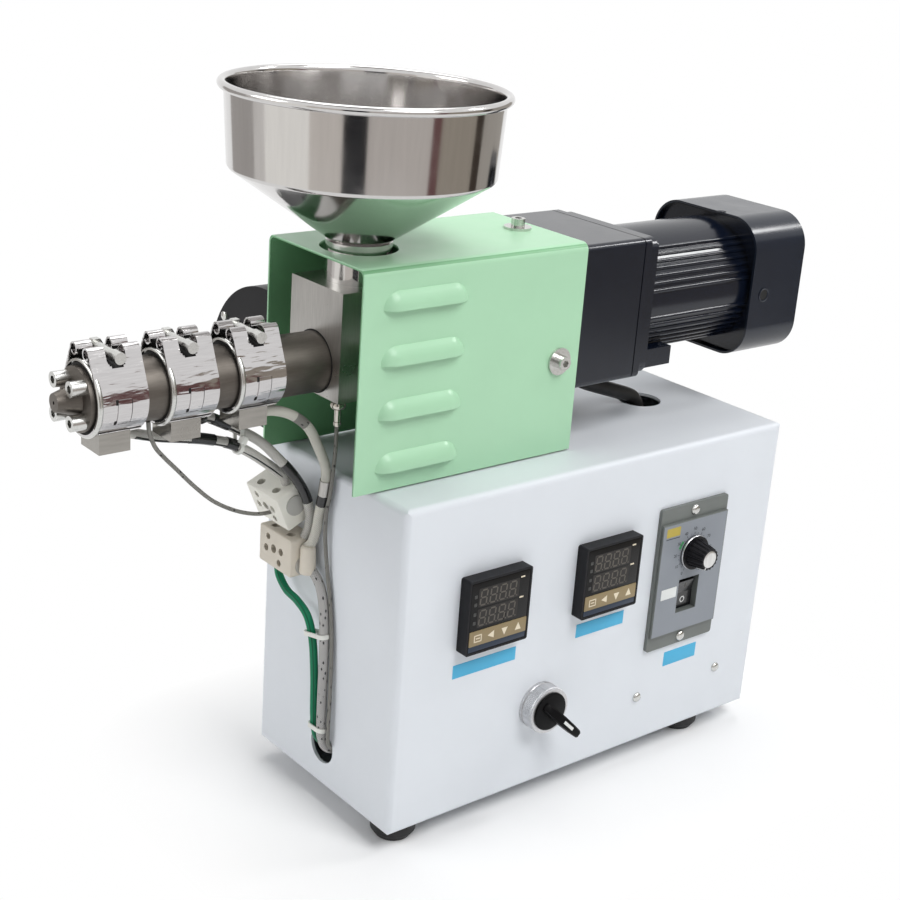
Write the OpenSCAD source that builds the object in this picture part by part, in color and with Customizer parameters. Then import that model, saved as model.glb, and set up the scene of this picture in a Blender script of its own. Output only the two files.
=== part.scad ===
// Benchtop filament extruder: cabinet, louvred cover, hopper, heated barrel and gear motor.
// Sizes are worked out from the cabinet's front left bottom corner; set_down() moves them to the
// middle of the machine's footprint, on the floor.

/* [Cabinet] */
// Width of the cabinet along its front
cab_w = 316; // [280:1:360]
// Depth of the cabinet from front to back
cab_d = 140; // [120:1:180]
// Height of the cabinet without its feet
cab_h = 210; // [180:1:240]
// Thickness of the cabinet's sheet
cab_t = 2; // [1.5:0.1:3]
// Outer radius of the sheet's bends
cab_bend_r = 4; // [2.5:0.5:6]
// Width of the folded lip round the open bottom
cab_lip = 14; // [8:1:20]
// Diameter of the cable hole in the left end
cable_hole_d = 23; // [18:1:30]
// Distance of the cable hole from the front
cable_hole_y = 70; // [50:1:90]
// Height of the cable hole
cable_hole_z = 28; // [22:1:40]
// Diameter of the motor cable's hole in the top
motor_hole_d = 30; // [22:1:34]
// Distance of the motor cable's hole from the left end
motor_hole_x = 262; // [240:1:280]
// Distance of the motor cable's hole from the front
motor_hole_y = 82; // [60:1:100]
// Diameter of a foot where it meets the cabinet
foot_top_d = 30; // [20:1:36]
// Diameter of a foot where it meets the floor
foot_bottom_d = 22; // [14:1:30]
// Height of the feet
foot_h = 13; // [8:1:20]
// Distance of the front left foot's middle from the cabinet's sides
foot_inset = 20; // [18:1:30]
// Distance of the other feet's middles from the cabinet's ends
foot_end_inset = 46; // [20:1:60]

/* [Cover] */
// Length of the cover along the barrel
cover_len = 164; // [140:1:190]
// How far the cover reaches past the cabinet's left end
cover_overhang = 15; // [0:1:25]
// Width of the cover
cover_w = 93; // [88:1:110]
// Height of the cover
cover_h = 130; // [115:1:150]
// Thickness of the cover's sheet
cover_t = 1.5; // [1:0.1:2.5]
// Outer radius of the cover's two bends
cover_bend_r = 5; // [3:0.5:8]
// Gap between the cover's lower edges and the cabinet
cover_gap = 1.2; // [0.5:0.1:3]
// Number of louvres on the near side
louvre_count = 4; // [1:1:4]
// Length of a louvre
louvre_len = 59; // [40:1:80]
// Height of a louvre
louvre_h = 10.5; // [8:0.5:14]
// How far a louvre stands out
louvre_out = 5; // [3:0.5:8]
// Distance between louvres
louvre_pitch = 31.4; // [20:0.2:36]
// Height of the lowest louvre's open edge above the cover's lower edge
louvre_first = 12; // [8:0.5:20]
// Distance of the louvres from the cover's open end
louvre_start = 14; // [10:1:30]
// Diameter of the washers under the cover's screws
washer_d = 17; // [12:1:22]
// Distance of the cover's screws from its motor end
cover_screw_back = 16; // [12:1:22]
// Height of the side screws above the cover's lower edge
cover_screw_up = 59; // [40:1:90]

/* [Feed] */
// Distance of the machine's centre plane from the cabinet's front
axis_y = 77; // [70:1:85]
// Height of the barrel's axis above the cabinet
axis_up = 67.6; // [60:0.1:80]
// Width of the feed block
block_w = 50; // [44:1:60]
// Length of the feed block along the barrel
block_len = 55; // [48:1:70]
// Height of the feed block's top above the barrel's axis
block_up = 45; // [35:1:50]
// Height of the feed block's underside below the barrel's axis
block_down = 18.5; // [17:0.5:30]
// Distance of the feed block's face inside the cover's open end
block_inset = 2; // [0:0.5:10]
// Outer diameter of the throat tube
throat_d = 38; // [32:0.5:42]
// Diameter of the hole for the throat tube in the cover
neck_hole_d = 45; // [43:0.5:48]
// Diameter of the feed throat
throat_bore_d = 24; // [18:0.5:26]
// Diameter of the barrel's bore
bore_d = 20; // [14:0.5:24]
// Diameter of the feed screw's core
screw_core_d = 11; // [8:0.5:14]
// Distance between turns of the feed screw
screw_pitch = 20; // [14:1:26]
// Thickness of the feed screw's flight
flight_t = 3; // [2:0.5:5]
// Running clearance round the feed screw
screw_gap = 0.3; // [0.1:0.1:0.6]

/* [Hopper] */
// Outer radius of the hopper's rolled rim
rim_r = 81; // [70:1:95]
// Thickness of the rolled rim
rim_roll_d = 5; // [3:0.5:7]
// Outer radius of the hopper's straight wall at its foot
wall_r = 75; // [65:1:88]
// Height of the straight wall
wall_h = 46; // [35:1:60]
// Height of the cone
cone_h = 40; // [30:1:55]
// Thickness of the hopper's sheet
hopper_t = 1.5; // [1:0.1:2.5]
// Outer diameter of the hopper's neck
neck_d = 34.5; // [30:0.5:36]
// How far the throat tube stands above the cover
collar_h = 4; // [3:0.5:8]

/* [Barrel] */
// Outer diameter of the barrel
barrel_d = 35; // [30:0.5:40]
// Length of the barrel in front of the feed block
barrel_len = 140; // [130:1:170]
// Depth of the barrel's seat in the feed block
barrel_seat = 10; // [6:1:12]
// Width of a heater band
band_w = 29; // [24:0.5:32]
// Thickness of a heater band
band_t = 2.5; // [1.5:0.1:3.5]
// Distance between heater bands
band_pitch = 42; // [36:0.5:46]
// Distance of the rear heater band's middle from the feed block
band_first = 46; // [36:1:52]
// Height of the clamp lugs above the band
lug_h = 9; // [7:0.5:12]
// Diameter of the clamp bolts
clamp_bolt_d = 5; // [4:0.5:6]
// Length of a heater's terminal box along the barrel
box_len = 18; // [14:0.5:26]
// Width of a heater's terminal box
box_w = 20; // [14:0.5:26]
// Height of a heater's terminal box below the band
box_h = 9; // [7:0.5:16]
// Thickness of the die's flange
die_flange_t = 7; // [5:0.5:10]
// Length of the die's nose
die_nose_len = 12; // [8:0.5:18]
// Diameter of the nose at the flange
die_nose_d = 17; // [14:0.5:18]
// Diameter of the nose at its tip
die_tip_d = 10; // [7:0.5:12]
// Diameter of the filament hole
die_hole_d = 1.8; // [1.5:0.05:3]
// Radius of the die's screw circle
die_screw_r = 13; // [12:0.25:14]
// Diameter of the die's screw heads
die_head_d = 8.5; // [7:0.5:9]
// Height of the die's screw heads
die_head_h = 8; // [5:0.5:10]

/* [Drive] */
// Side of the square gearbox
gear_w = 90; // [80:1:92]
// Length of the gearbox
gear_len = 56; // [45:1:70]
// Height of the gearbox's middle above the barrel's axis
gear_up = 16; // [10:0.5:18]
// Radius of the gearbox's long edges
gear_edge_r = 4; // [2:0.5:8]
// Diameter of the motor over its ribs
motor_d = 85; // [76:1:88]
// Height of the motor's ribs
rib_h = 1.2; // [0.6:0.1:3]
// Length of the ribbed motor body
motor_len = 110; // [95:1:125]
// Thickness of the motor's square flange
flange_t = 7; // [5:0.5:10]
// Side of the motor's fan cover
fan_w = 94; // [92:1:100]
// Length of the motor's fan cover
fan_len = 49; // [40:1:60]
// Corner radius of the motor's fan cover
fan_corner_r = 22; // [16:1:28]
// Thickness of the motor's fan cover
fan_t = 1.5; // [1:0.1:2.5]
// How far the fan cover reaches over the motor's end
fan_lap = 13; // [10:1:20]
// Thickness of the bracket that carries the gearbox
bracket_t = 24; // [20:1:30]

/* [Blower] */
// Radius of the blower's spiral housing
blower_r = 59; // [50:1:62]
// Distance of the blower's middle behind the cover
blower_in = 26; // [24:1:40]
// Thickness of the blower
blower_t = 30; // [20:1:36]
// Gap between the blower's round casing and the cover
blower_gap = 0.3; // [0.2:0.1:2]
// Height of the blower's middle above the cabinet
blower_up = 31; // [28:1:40]
// Diameter of the blower's inlet
inlet_d = 40; // [30:1:50]

/* [Controls] */
// Side of a temperature controller
tc_w = 48; // [46:0.5:50]
// How far a temperature controller stands out
tc_out = 8.5; // [6:0.5:12]
// Distance of the barrel controller's middle from the left end
tc_barrel_x = 67; // [50:1:80]
// Distance of the feed controller's middle from the left end
tc_feed_x = 159.5; // [140:0.5:172]
// Height of the controllers' middles
tc_z = 136.5; // [120:0.5:150]
// Width of the speed controller's plate
plate_w = 62; // [56:1:70]
// Height of the speed controller's plate
plate_h = 101; // [92:1:110]
// Thickness of the speed controller's plate
plate_t = 2.5; // [2:0.5:5]
// Width of the plate's raised front
front_w = 60; // [54:0.5:60]
// Height of the plate's raised front
front_h = 80; // [72:1:86]
// How far the raised front stands out from the plate
front_t = 2; // [1:0.5:4]
// Distance of the plate's middle from the left end
plate_x = 236.5; // [225:0.5:250]
// Height of the plate's middle
plate_z = 119; // [110:1:125]
// Height of the knob's axis above the plate's middle
knob_up = 16.5; // [14:0.5:24]
// Diameter of the speed knob's skirt
knob_d = 23; // [20:0.5:28]
// Diameter of the speed knob's top
knob_top_d = 15; // [12:0.5:18]
// Height of the speed knob
knob_h = 15; // [12:0.5:20]
// Diameter of the knob's shaft
shaft_d = 6; // [5:0.5:8]
// Width of the pocket for the rocker switch
pocket_w = 19; // [16:0.5:20]
// Height of the pocket for the rocker switch
pocket_h = 24; // [20:0.5:26]
// Depth of the pocket's floor behind the panel's face
pocket_depth = 3; // [2:0.5:6]
// Distance of the rocker's middle below the plate's middle
rocker_down = 14; // [12:0.5:18]
// Tilt of the rocker from its middle position, in degrees
rocker_tilt = 8; // [5:1:12]
// Diameter of the selector's ring
ring_d = 30; // [28:0.5:36]
// How far the selector's ring stands out
ring_out = 11; // [8:0.5:14]
// Distance of the selector's middle from the left end
sel_x = 114; // [100:1:130]
// Height of the selector's middle
sel_z = 57; // [45:1:70]
// Length of the selector's lever from its middle
lever_len = 24; // [18:0.5:30]
// Width of the selector's lever
lever_w = 8; // [6:0.5:11]
// How far the selector's lever stands out from its disc
lever_out = 11; // [8:0.5:14]
// Clearance round the parts that turn
turn_gap = 0.4; // [0.2:0.1:0.8]

/* [Wiring] */
// Length of a ceramic connector
conn_len = 34; // [28:1:40]
// Height of a ceramic connector
conn_h = 24; // [18:1:30]
// Depth of a ceramic connector
conn_d = 17; // [12:1:22]
// Distance of the upper connector's middle from the front
conn_upper_y = 108; // [95:1:115]
// Distance of the upper connector's middle below the cabinet's top
conn_upper_down = 29; // [20:1:44]
// Distance of the lower connector's middle from the front
conn_lower_y = 104; // [95:1:115]
// Distance of the lower connector's middle below the upper one's
conn_drop = 30; // [28:1:40]
// Diameter of a heater lead
lead_d = 6; // [4:0.5:8]
// Diameter of a thin sensor lead
sensor_d = 2.4; // [2:0.1:4]
// Diameter of the bundled green wires
green_d = 5; // [4:0.5:7]
// Diameter of the bundled grey wires
grey_d = 6; // [4:0.5:8]
// Diameter of the motor cable
motor_cable_d = 10; // [8:0.5:12]

/* [Hidden] */
$fn = 48;

// Lengths that follow from the driving dimensions
cut = 1;
fit = 0.15;
axis_z = cab_h + axis_up;
cover_x0 = -cover_overhang;
cover_x1 = cover_x0 + cover_len;
cover_y0 = axis_y - cover_w / 2;
cover_y1 = axis_y + cover_w / 2;
cover_z0 = cab_h + cover_gap;
cover_z1 = cover_z0 + cover_h;
block_x0 = cover_x0 + block_inset;
block_x1 = block_x0 + block_len;
throat_x = block_x0 + block_len / 2;
block_top = axis_z + block_up;
bracket_x0 = cover_x1 - bracket_t;
gear_x1 = cover_x1 + gear_len;
gear_z = axis_z + gear_up;
motor_x1 = gear_x1 + motor_len;
fan_x0 = motor_x1 - fan_lap;
fan_x1 = fan_x0 + fan_len;
barrel_x0 = block_x0 - barrel_len;
die_x0 = barrel_x0 - die_flange_t;
tip_x = die_x0 - die_nose_len;
band_r = barrel_d / 2 + band_t;
band_x = [for (i = [0:2]) block_x0 - band_first - i * band_pitch];
collar_top = cover_z1 + collar_h;
cone_top = collar_top + cone_h;
rim_z = cone_top + wall_h;
blower_y = cover_y1 + blower_gap + blower_in;
blower_z = cab_h + blower_up;
conn_upper_z = cab_h - conn_upper_down;
conn_lower_z = conn_upper_z - conn_drop;
knob_z = plate_z + knob_up;
rocker_z = plate_z - rocker_down;
bead_w = 3;
bead_h = 1;
ring_wall = 4;
sel_disc_d = ring_d - 2 * ring_wall;
shaft_len = 9;
shank_len = 30;
front_y0 = -(plate_t + front_t);
pocket_wall = 1.5;
rocker_wall = 1.5;
rocker_w = pocket_w - 2 * (rocker_wall + fit);
rocker_h = pocket_h - 2 * (rocker_wall + fit);
rocker_frame_t = 3;
rocker_floor = 0.5;
rocker_pin_d = 2;
rocker_axis_y = pocket_depth - rocker_floor - rocker_pin_d / 2 - turn_gap;
disc_seat = 3;
disc_out = ring_out + 1;
hex_d = 4.6;
hex_depth = 4;
louvre_back = (louvre_h * louvre_h - louvre_out * louvre_out) / (2 * louvre_out);
louvre_r = louvre_out + louvre_back;

// Where the cords start and end
lead_y = axis_y + 4;
lead_z = axis_z - band_r - box_h / 2;
lead_x = [for (x = band_x) x + box_len / 2];
conn_x = -conn_d / 2;
conn_upper_top = conn_upper_z + conn_h / 2;
conn_lower_near = conn_lower_y - conn_len / 2;
conn_lower_foot = conn_lower_z - conn_h / 2;
sensor_side = -7;
sensor_x = (band_x[1] + band_x[2]) / 2;
sensor_z = axis_z - sqrt(barrel_d * barrel_d / 4 - sensor_side * sensor_side);
probe_x = block_x0 + 8;
probe_y = axis_y - 14;
probe_nut_h = 4;
probe_len = 18;
probe_z = axis_z - block_down - probe_len;
cable_z = gear_z - gear_w / 2;
cable_in = cab_h - 13;

// The cords' routes
front_lead_way = [
    [lead_x[2], lead_y, lead_z], [lead_x[2] + 8.5, lead_y + 4, lead_z - 2.1],
    [lead_x[2] + 18.5, lead_y + 9.5, lead_z - 6.6], [lead_x[2] + 31.5, lead_y + 12.5, lead_z - 11],
    [lead_x[2] + 46.5, lead_y + 14, lead_z - 14.6], [lead_x[2] + 62.5, lead_y + 15, lead_z - 18.6],
    [lead_x[2] + 78.5, lead_y + 15.5, lead_z - 24.1], [lead_x[2] + 91.5, lead_y + 15.5, lead_z - 31.6],
    [conn_x - 22.5, conn_upper_y - 10, conn_upper_top + 20],
    [conn_x - 13, conn_upper_y - 8.5, conn_upper_top + 12.5],
    [conn_x - 6.5, conn_upper_y - 8, conn_upper_top + 6.5], [conn_x - 4, conn_upper_y - 8, conn_upper_top]
];
middle_lead_way = [
    [lead_x[1], lead_y, lead_z], [lead_x[1] + 8.5, lead_y + 3, lead_z - 0.6],
    [lead_x[1] + 17.5, lead_y + 9.5, lead_z - 3.1], [lead_x[1] + 30.5, lead_y + 14, lead_z - 10.1],
    [lead_x[1] + 43.5, lead_y + 16.5, lead_z - 17.6], [lead_x[1] + 56.5, lead_y + 15, lead_z - 26.1],
    [-25, 92.5, cab_h + 6], [-15.5, 88.5, cab_h - 6],
    [-8.5, conn_lower_near - 0.5, conn_lower_z + 40.5], [-5, conn_lower_near - 0.8, conn_lower_z + 28],
    [-4.5, conn_lower_near, conn_lower_z + 19.5], [-5, conn_lower_near + 1.2, conn_lower_z + 15.5],
    [-5.5, conn_lower_near + 2.5, conn_lower_z + conn_h / 2]
];
rear_lead_way = [
    [lead_x[0], axis_y, lead_z], [lead_x[0] + 10.5, axis_y - 1, lead_z - 0.6],
    [lead_x[0] + 21.5, axis_y - 3, lead_z - 4.6], [lead_x[0] + 31, axis_y - 5.5, lead_z - 12.6],
    [lead_x[0] + 37, axis_y - 7, lead_z - 24.1], [-6, 70.5, cab_h + 3], [-4.8, 73, cab_h - 12],
    [-4.8, conn_lower_near - 10.5, conn_lower_z + 33], [-4.8, conn_lower_near - 8, conn_lower_z + 20],
    [-6, conn_lower_near - 5, conn_lower_z + 10.5], [-8, conn_lower_near, conn_lower_z + 5.5]
];
thermocouple_way = [
    [sensor_x, axis_y + sensor_side, sensor_z], [sensor_x + 1.5, axis_y - 6, sensor_z - 7.6],
    [sensor_x + 6, axis_y - 4, sensor_z - 16.6], [sensor_x + 13, axis_y - 1, sensor_z - 24.6],
    [sensor_x + 24, axis_y + 4, sensor_z - 35.6], [sensor_x + 39, axis_y + 10.5, sensor_z - 50.6],
    [-conn_d - 49, conn_upper_y - 13.5, conn_upper_z + 15],
    [-conn_d - 30, conn_upper_y - 7, conn_upper_z + 3],
    [-conn_d - 13, conn_upper_y - 3, conn_upper_z - 4], [-conn_d, conn_upper_y - 1, conn_upper_z - 6]
];
probe_way = [
    [probe_x, probe_y, probe_z], [probe_x + 0.5, probe_y + 1, probe_z - 14],
    [-3.8, 66, cab_h + 5], [-3.6, 68.3, cab_h - 12], [-3.6, 71.3, cab_h - 26],
    [-3, 72, conn_lower_z + 16], [-2.2, 69.5, conn_lower_z - 4], [-2, 66, conn_lower_z - 20],
    [-2.2, 62, cable_hole_z + 78], [-2.8, 60.2, cable_hole_z + 44],
    [-3.2, cable_hole_y - 10.2, cable_hole_z + 18], [-2, cable_hole_y - 9.8, cable_hole_z + 6],
    [5, cable_hole_y - 9.3, cable_hole_z + 0.5], [14, cable_hole_y - 9.2, cable_hole_z - 0.5]
];
green_way = [
    [conn_x - 0.5, conn_lower_y + 8, conn_lower_foot],
    [conn_x - 0.5, conn_lower_y + 6, conn_lower_foot - 8.5],
    [conn_x - 0.7, conn_lower_y - 3, conn_lower_foot - 15],
    [conn_x - 0.7, conn_lower_y - 15, conn_lower_foot - 17.5], [-8.6, 78.5, conn_lower_foot - 24],
    [-7.4, 74, conn_lower_foot - 39], [-6, 72.8, cable_hole_z + 48],
    [-5.2, cable_hole_y + 2.6, cable_hole_z + 24], [-3.6, cable_hole_y + 2.8, cable_hole_z + 11],
    [0, cable_hole_y + 3, cable_hole_z + 3.5], [6, cable_hole_y + 3, cable_hole_z],
    [16, cable_hole_y + 3, cable_hole_z - 1]
];
grey_way = [
    [-7, conn_lower_near, conn_lower_z - 5], [-5.5, conn_lower_near - 7.5, conn_lower_z - 7.5],
    [-4.6, conn_lower_near - 14.5, conn_lower_z - 15], [-4.4, 68.3, conn_lower_z - 29],
    [-4.4, 66.3, cable_hole_z + 70], [-4.4, 66, cable_hole_z + 42],
    [-4.2, cable_hole_y - 4, cable_hole_z + 20], [-3.4, cable_hole_y - 4, cable_hole_z + 9],
    [0, cable_hole_y - 4, cable_hole_z + 1.5], [6, cable_hole_y - 4, cable_hole_z - 2],
    [16, cable_hole_y - 4, cable_hole_z - 3]
];
motor_cable_way = [
    [gear_x1 - 8, motor_hole_y, cable_z], [gear_x1 - 6.8, motor_hole_y, cable_z - 7],
    [gear_x1 - 3, motor_hole_y, cable_z - 13.5], [gear_x1 + 5, motor_hole_y, cable_z - 18.8],
    [motor_hole_x - 13, motor_hole_y, cable_in + 18.8], [motor_hole_x - 5, motor_hole_y, cable_in + 13.5],
    [motor_hole_x - 1.2, motor_hole_y, cable_in + 7], [motor_hole_x, motor_hole_y, cable_in]
];

// The footprint's middle is the frame's origin
front_y = -(disc_out + lever_out);
rear_y = blower_y + blower_r;
mid_x = (tip_x + fan_x1) / 2;
mid_y = (front_y + rear_y) / 2;

module set_down() {
    translate([-mid_x, -mid_y, foot_h]) children();
}

// A rectangle with rounded corners, centred
module round_rect(w, h, r) {
    square([w - 2 * r, h], center = true);
    square([w, h - 2 * r], center = true);
    for (x = [-1, 1], y = [-1, 1])
        translate([x * (w / 2 - r), y * (h / 2 - r)]) circle(r = r);
}

// A prism along X, drawn in the Y-Z plane
module along_x(len) {
    rotate([90, 0, 90]) linear_extrude(len) children();
}

// A prism towards the viewer from the panel, drawn in the X-Z plane
module out_from_panel(len) {
    rotate([90, 0, 0]) linear_extrude(len) children();
}

// A round bar along X from x0 to x1 on the barrel's axis
module bar_x(x0, x1, d) {
    translate([x0, axis_y, axis_z]) rotate([0, 90, 0]) cylinder(h = x1 - x0, d = d);
}

// A box with every edge rounded, from its lowest corner
module round_box(size, r) {
    translate(size / 2) intersection() {
        translate([0, 0, -size.z / 2]) linear_extrude(size.z) round_rect(size.x, size.y, r);
        translate([-size.x / 2, 0, 0]) along_x(size.x) round_rect(size.y, size.z, r);
        translate([0, size.y / 2, 0]) out_from_panel(size.y) round_rect(size.x, size.z, r);
    }
}

module cabinet() {
    inner = [cab_w - 2 * cab_t, cab_d - 2 * cab_t, cab_h - 2 * cab_t];
    color("whitesmoke") set_down() difference() {
        round_box([cab_w, cab_d, cab_h], cab_bend_r);
        translate([cab_t, cab_t, cab_t]) round_box(inner, cab_bend_r - cab_t);
        translate([cab_lip, cab_lip, -cut])
            cube([cab_w - 2 * cab_lip, cab_d - 2 * cab_lip, cab_t + 2 * cut]);
        translate([-cut, cable_hole_y, cable_hole_z])
            rotate([0, 90, 0]) cylinder(h = cab_t + 2 * cut, d = cable_hole_d);
        translate([motor_hole_x, motor_hole_y, cab_h - cab_t - cut])
            cylinder(h = cab_t + 2 * cut, d = motor_hole_d);
        translate([plate_x, cab_t + cut, rocker_z]) out_from_panel(cab_t + 2 * cut)
            square([pocket_w, pocket_h] + 2 * [pocket_wall + fit, pocket_wall + fit], center = true);
    }
}

module base_plate() {
    margin = cab_bend_r + cut;
    color("lightgray") set_down()
        translate([margin, margin, cab_t])
            cube([cab_w - 2 * margin, cab_d - 2 * margin, cab_t]);
}

module feet() {
    back_y = cab_d - foot_inset;
    right_x = cab_w - foot_end_inset;
    places = [[foot_inset, foot_inset], [right_x, foot_inset], [foot_end_inset, back_y], [right_x, back_y]];
    toe = foot_h / 3;
    color("black") set_down()
        for (place = places)
            translate([place.x, place.y, -foot_h]) {
                cylinder(h = toe, d1 = foot_bottom_d, d2 = foot_top_d - 2);
                translate([0, 0, toe]) cylinder(h = foot_h - toe, d1 = foot_top_d - 2, d2 = foot_top_d);
            }
}

// The bent sheet's outline across the machine: an inverted U with rounded bends
module cover_outline() {
    inner_r = cover_bend_r - cover_t;
    difference() {
        translate([axis_y, cover_z0]) difference() {
            translate([0, cover_h / 2 - cover_bend_r])
                round_rect(cover_w, cover_h + 2 * cover_bend_r, cover_bend_r);
            translate([-cover_w, -3 * cover_bend_r]) square([2 * cover_w, 3 * cover_bend_r]);
        }
        translate([axis_y, cover_z0 - cut])
            translate([0, (cover_h - cover_t) / 2 - inner_r])
                round_rect(cover_w - 2 * cover_t, cover_h - cover_t + 2 * (inner_r + cut), inner_r);
    }
}

// A bar with round ends behind the cover's face, which swells out of it as a louvre
module louvre_bar(r) {
    flat = louvre_len - 2 * louvre_h;
    translate([louvre_h, louvre_back, 0]) rotate([0, 90, 0]) rotate_extrude() intersection() {
        translate([0, -r]) square([r, flat + 2 * r]);
        union() {
            circle(r = r);
            translate([0, flat]) circle(r = r);
            square([r, flat]);
        }
    }
}

// One pressed louvre, open along its lower edge
module louvre_hood() {
    intersection() {
        louvre_bar(louvre_r);
        translate([-louvre_h, -louvre_out - cut, 0])
            cube([louvre_len + 2 * louvre_h, louvre_out + cut + cover_t / 2, louvre_r]);
    }
}

// The hollow under a louvre, with the slit along its lower edge
module louvre_hollow() {
    slit = 0.3;
    intersection() {
        louvre_bar(louvre_r - cover_t);
        translate([-louvre_h, -louvre_out, -slit])
            cube([louvre_len + 2 * louvre_h, louvre_out + cover_t + cut, louvre_r]);
    }
}

module louvre_places() {
    for (i = [0:louvre_count - 1])
        translate([cover_x0 + louvre_start, cover_y0, cover_z0 + louvre_first + i * louvre_pitch])
            children();
}

module cover() {
    color("palegreen") set_down() difference() {
        union() {
            translate([cover_x0, 0, 0]) along_x(cover_len) cover_outline();
            louvre_places() louvre_hood();
        }
        louvre_places() louvre_hollow();
        translate([throat_x, axis_y, cover_z1 - cover_t - cut])
            cylinder(h = cover_t + 2 * cut, d = neck_hole_d);
    }
}

// A socket-cap screw with a wide washer, standing on the plane z = 0
module washer_screw() {
    washer_t = 1.5;
    head_d = 8.5;
    head_h = 5;
    difference() {
        union() {
            cylinder(h = washer_t, d = washer_d);
            cylinder(h = washer_t + head_h, d = head_d);
        }
        translate([0, 0, washer_t + head_h - hex_depth])
            cylinder(h = hex_depth + cut, d = hex_d, $fn = 6);
    }
}

module cover_screws() {
    screw_x = cover_x1 - cover_screw_back;
    screw_z = cover_z0 + cover_screw_up;
    color("silver") set_down() {
        translate([screw_x, cover_y0, screw_z]) rotate([90, 0, 0]) washer_screw();
        translate([screw_x, cover_y1, screw_z]) rotate([-90, 0, 0]) washer_screw();
        translate([screw_x, axis_y, cover_z1]) washer_screw();
    }
}

module gearbox_bracket() {
    width = cover_w - 2 * cover_t;
    bracket_top = cover_z1 - cover_t;
    color("dimgray") set_down()
        translate([bracket_x0, axis_y - width / 2, cab_h])
            cube([bracket_t, width, bracket_top - cab_h - cover_bend_r + cover_t]);
}

module bearing_housing() {
    color("gray") set_down() difference() {
        translate([block_x1, axis_y - block_w / 2, axis_z - block_down])
            cube([bracket_x0 - block_x1, block_w, block_up + block_down]);
        bar_x(block_x1 - cut, block_x1 + shank_len, bore_d + 2 * fit);
    }
}

module feed_block() {
    color("silver") set_down() difference() {
        translate([block_x0, axis_y - block_w / 2, axis_z - block_down])
            cube([block_len, block_w, block_up + block_down]);
        bar_x(block_x0 - cut, block_x1 + cut, bore_d + 2 * screw_gap);
        bar_x(block_x0 - cut, block_x0 + barrel_seat, barrel_d);
        translate([throat_x, axis_y, axis_z]) cylinder(h = block_up + cut, d = throat_bore_d);
    }
}

module throat_tube() {
    tube_len = collar_top - block_top;
    color("gainsboro") set_down() translate([throat_x, axis_y, block_top]) difference() {
        cylinder(h = tube_len, d = throat_d);
        translate([0, 0, -cut]) cylinder(h = tube_len + 2 * cut, d = throat_bore_d);
    }
}

module feed_screw() {
    tip_gap = 4;
    join = 2;
    flight_r = bore_d / 2 - 2 * fit;
    flight_w = 1.8 * flight_t;
    slices_a_turn = 14;
    start_x = barrel_x0 + tip_gap;
    flight_len = block_x1 - start_x - join;
    turns = flight_len / screw_pitch;
    color("lightsteelblue") set_down() {
        bar_x(start_x, block_x1, screw_core_d);
        bar_x(block_x1 - join, block_x1 + shank_len, bore_d);
        translate([start_x, axis_y, axis_z]) rotate([0, 90, 0])
            linear_extrude(flight_len, twist = -360 * turns, slices = ceil(turns * slices_a_turn), $fn = 6)
                translate([0, -flight_w / 2]) square([flight_r, flight_w]);
    }
}

module hopper() {
    neck_r = neck_d / 2;
    roll = rim_roll_d / 2;
    wall_top_r = rim_r - rim_roll_d + hopper_t;
    color("gainsboro") set_down() translate([throat_x, axis_y, 0]) rotate_extrude($fn = 96) {
        polygon([
            [neck_r - hopper_t, collar_top], [neck_r, collar_top], [wall_r, cone_top],
            [wall_top_r, rim_z - roll], [wall_top_r, rim_z], [wall_top_r - hopper_t, rim_z],
            [wall_r - hopper_t, cone_top + hopper_t / 2]
        ]);
        translate([rim_r - roll, rim_z - roll]) circle(d = rim_roll_d);
    }
}

module barrel() {
    color("dimgray") set_down() difference() {
        bar_x(barrel_x0, block_x0 + barrel_seat, barrel_d);
        bar_x(barrel_x0 - cut, block_x0 + barrel_seat + cut, bore_d + 2 * screw_gap);
    }
}

// The outline of one heater band: a ring with two folded clamp lugs on top
module band_outline() {
    lug_t = 1.6;
    lug_gap = 5;
    loop_d = 8;
    difference() {
        union() {
            circle(r = band_r);
            for (side = [-1, 1])
                translate([side * (lug_gap + loop_d) / 2, band_r + lug_h - loop_d / 2])
                    circle(d = loop_d);
            for (side = [-1, 1])
                translate([side * (lug_gap + loop_d) / 2 - loop_d / 2, 0])
                    square([loop_d, band_r + lug_h - loop_d / 2]);
        }
        circle(d = barrel_d);
        translate([-lug_gap / 2, 0]) square([lug_gap, band_r + lug_h + cut]);
        for (side = [-1, 1])
            translate([side * (lug_gap + loop_d) / 2, band_r + lug_h - loop_d / 2])
                circle(d = loop_d - 2 * lug_t);
    }
}

module heater_band(i) {
    window_w = 11;
    color("silver") set_down() difference() {
        union() {
            translate([band_x[i] - band_w / 2, axis_y, axis_z]) along_x(band_w) band_outline();
            translate([band_x[i] - band_w / 2, axis_y, axis_z]) rotate([0, 90, 0]) difference() {
                cylinder(h = bead_w, r = band_r + bead_h);
                translate([0, 0, -cut]) cylinder(h = bead_w + 2 * cut, d = barrel_d);
            }
        }
        translate([band_x[i] - window_w / 2, axis_y - band_r, axis_z + band_r])
            cube([window_w, 2 * band_r, lug_h + cut]);
    }
}

module heater_band_front() { heater_band(2); }
module heater_band_middle() { heater_band(1); }
module heater_band_rear() { heater_band(0); }

module clamp_bolts() {
    bolt_len = 26;
    nut_d = 8;
    nut_h = 4;
    barrel_nut_d = 6.5;
    barrel_nut_len = 7;
    color("lightgray") set_down()
        for (x = band_x)
            translate([x, axis_y, axis_z + band_r + nut_d / 2]) {
                rotate([90, 0, 0]) cylinder(h = bolt_len, d = clamp_bolt_d, center = true);
                translate([0, bolt_len / 2, 0]) rotate([90, 0, 0]) cylinder(h = nut_h, d = nut_d, $fn = 6);
                translate([0, barrel_nut_len / 2 - bolt_len / 2, 0])
                    rotate([90, 0, 0]) cylinder(h = barrel_nut_len, d = barrel_nut_d);
            }
}

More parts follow.
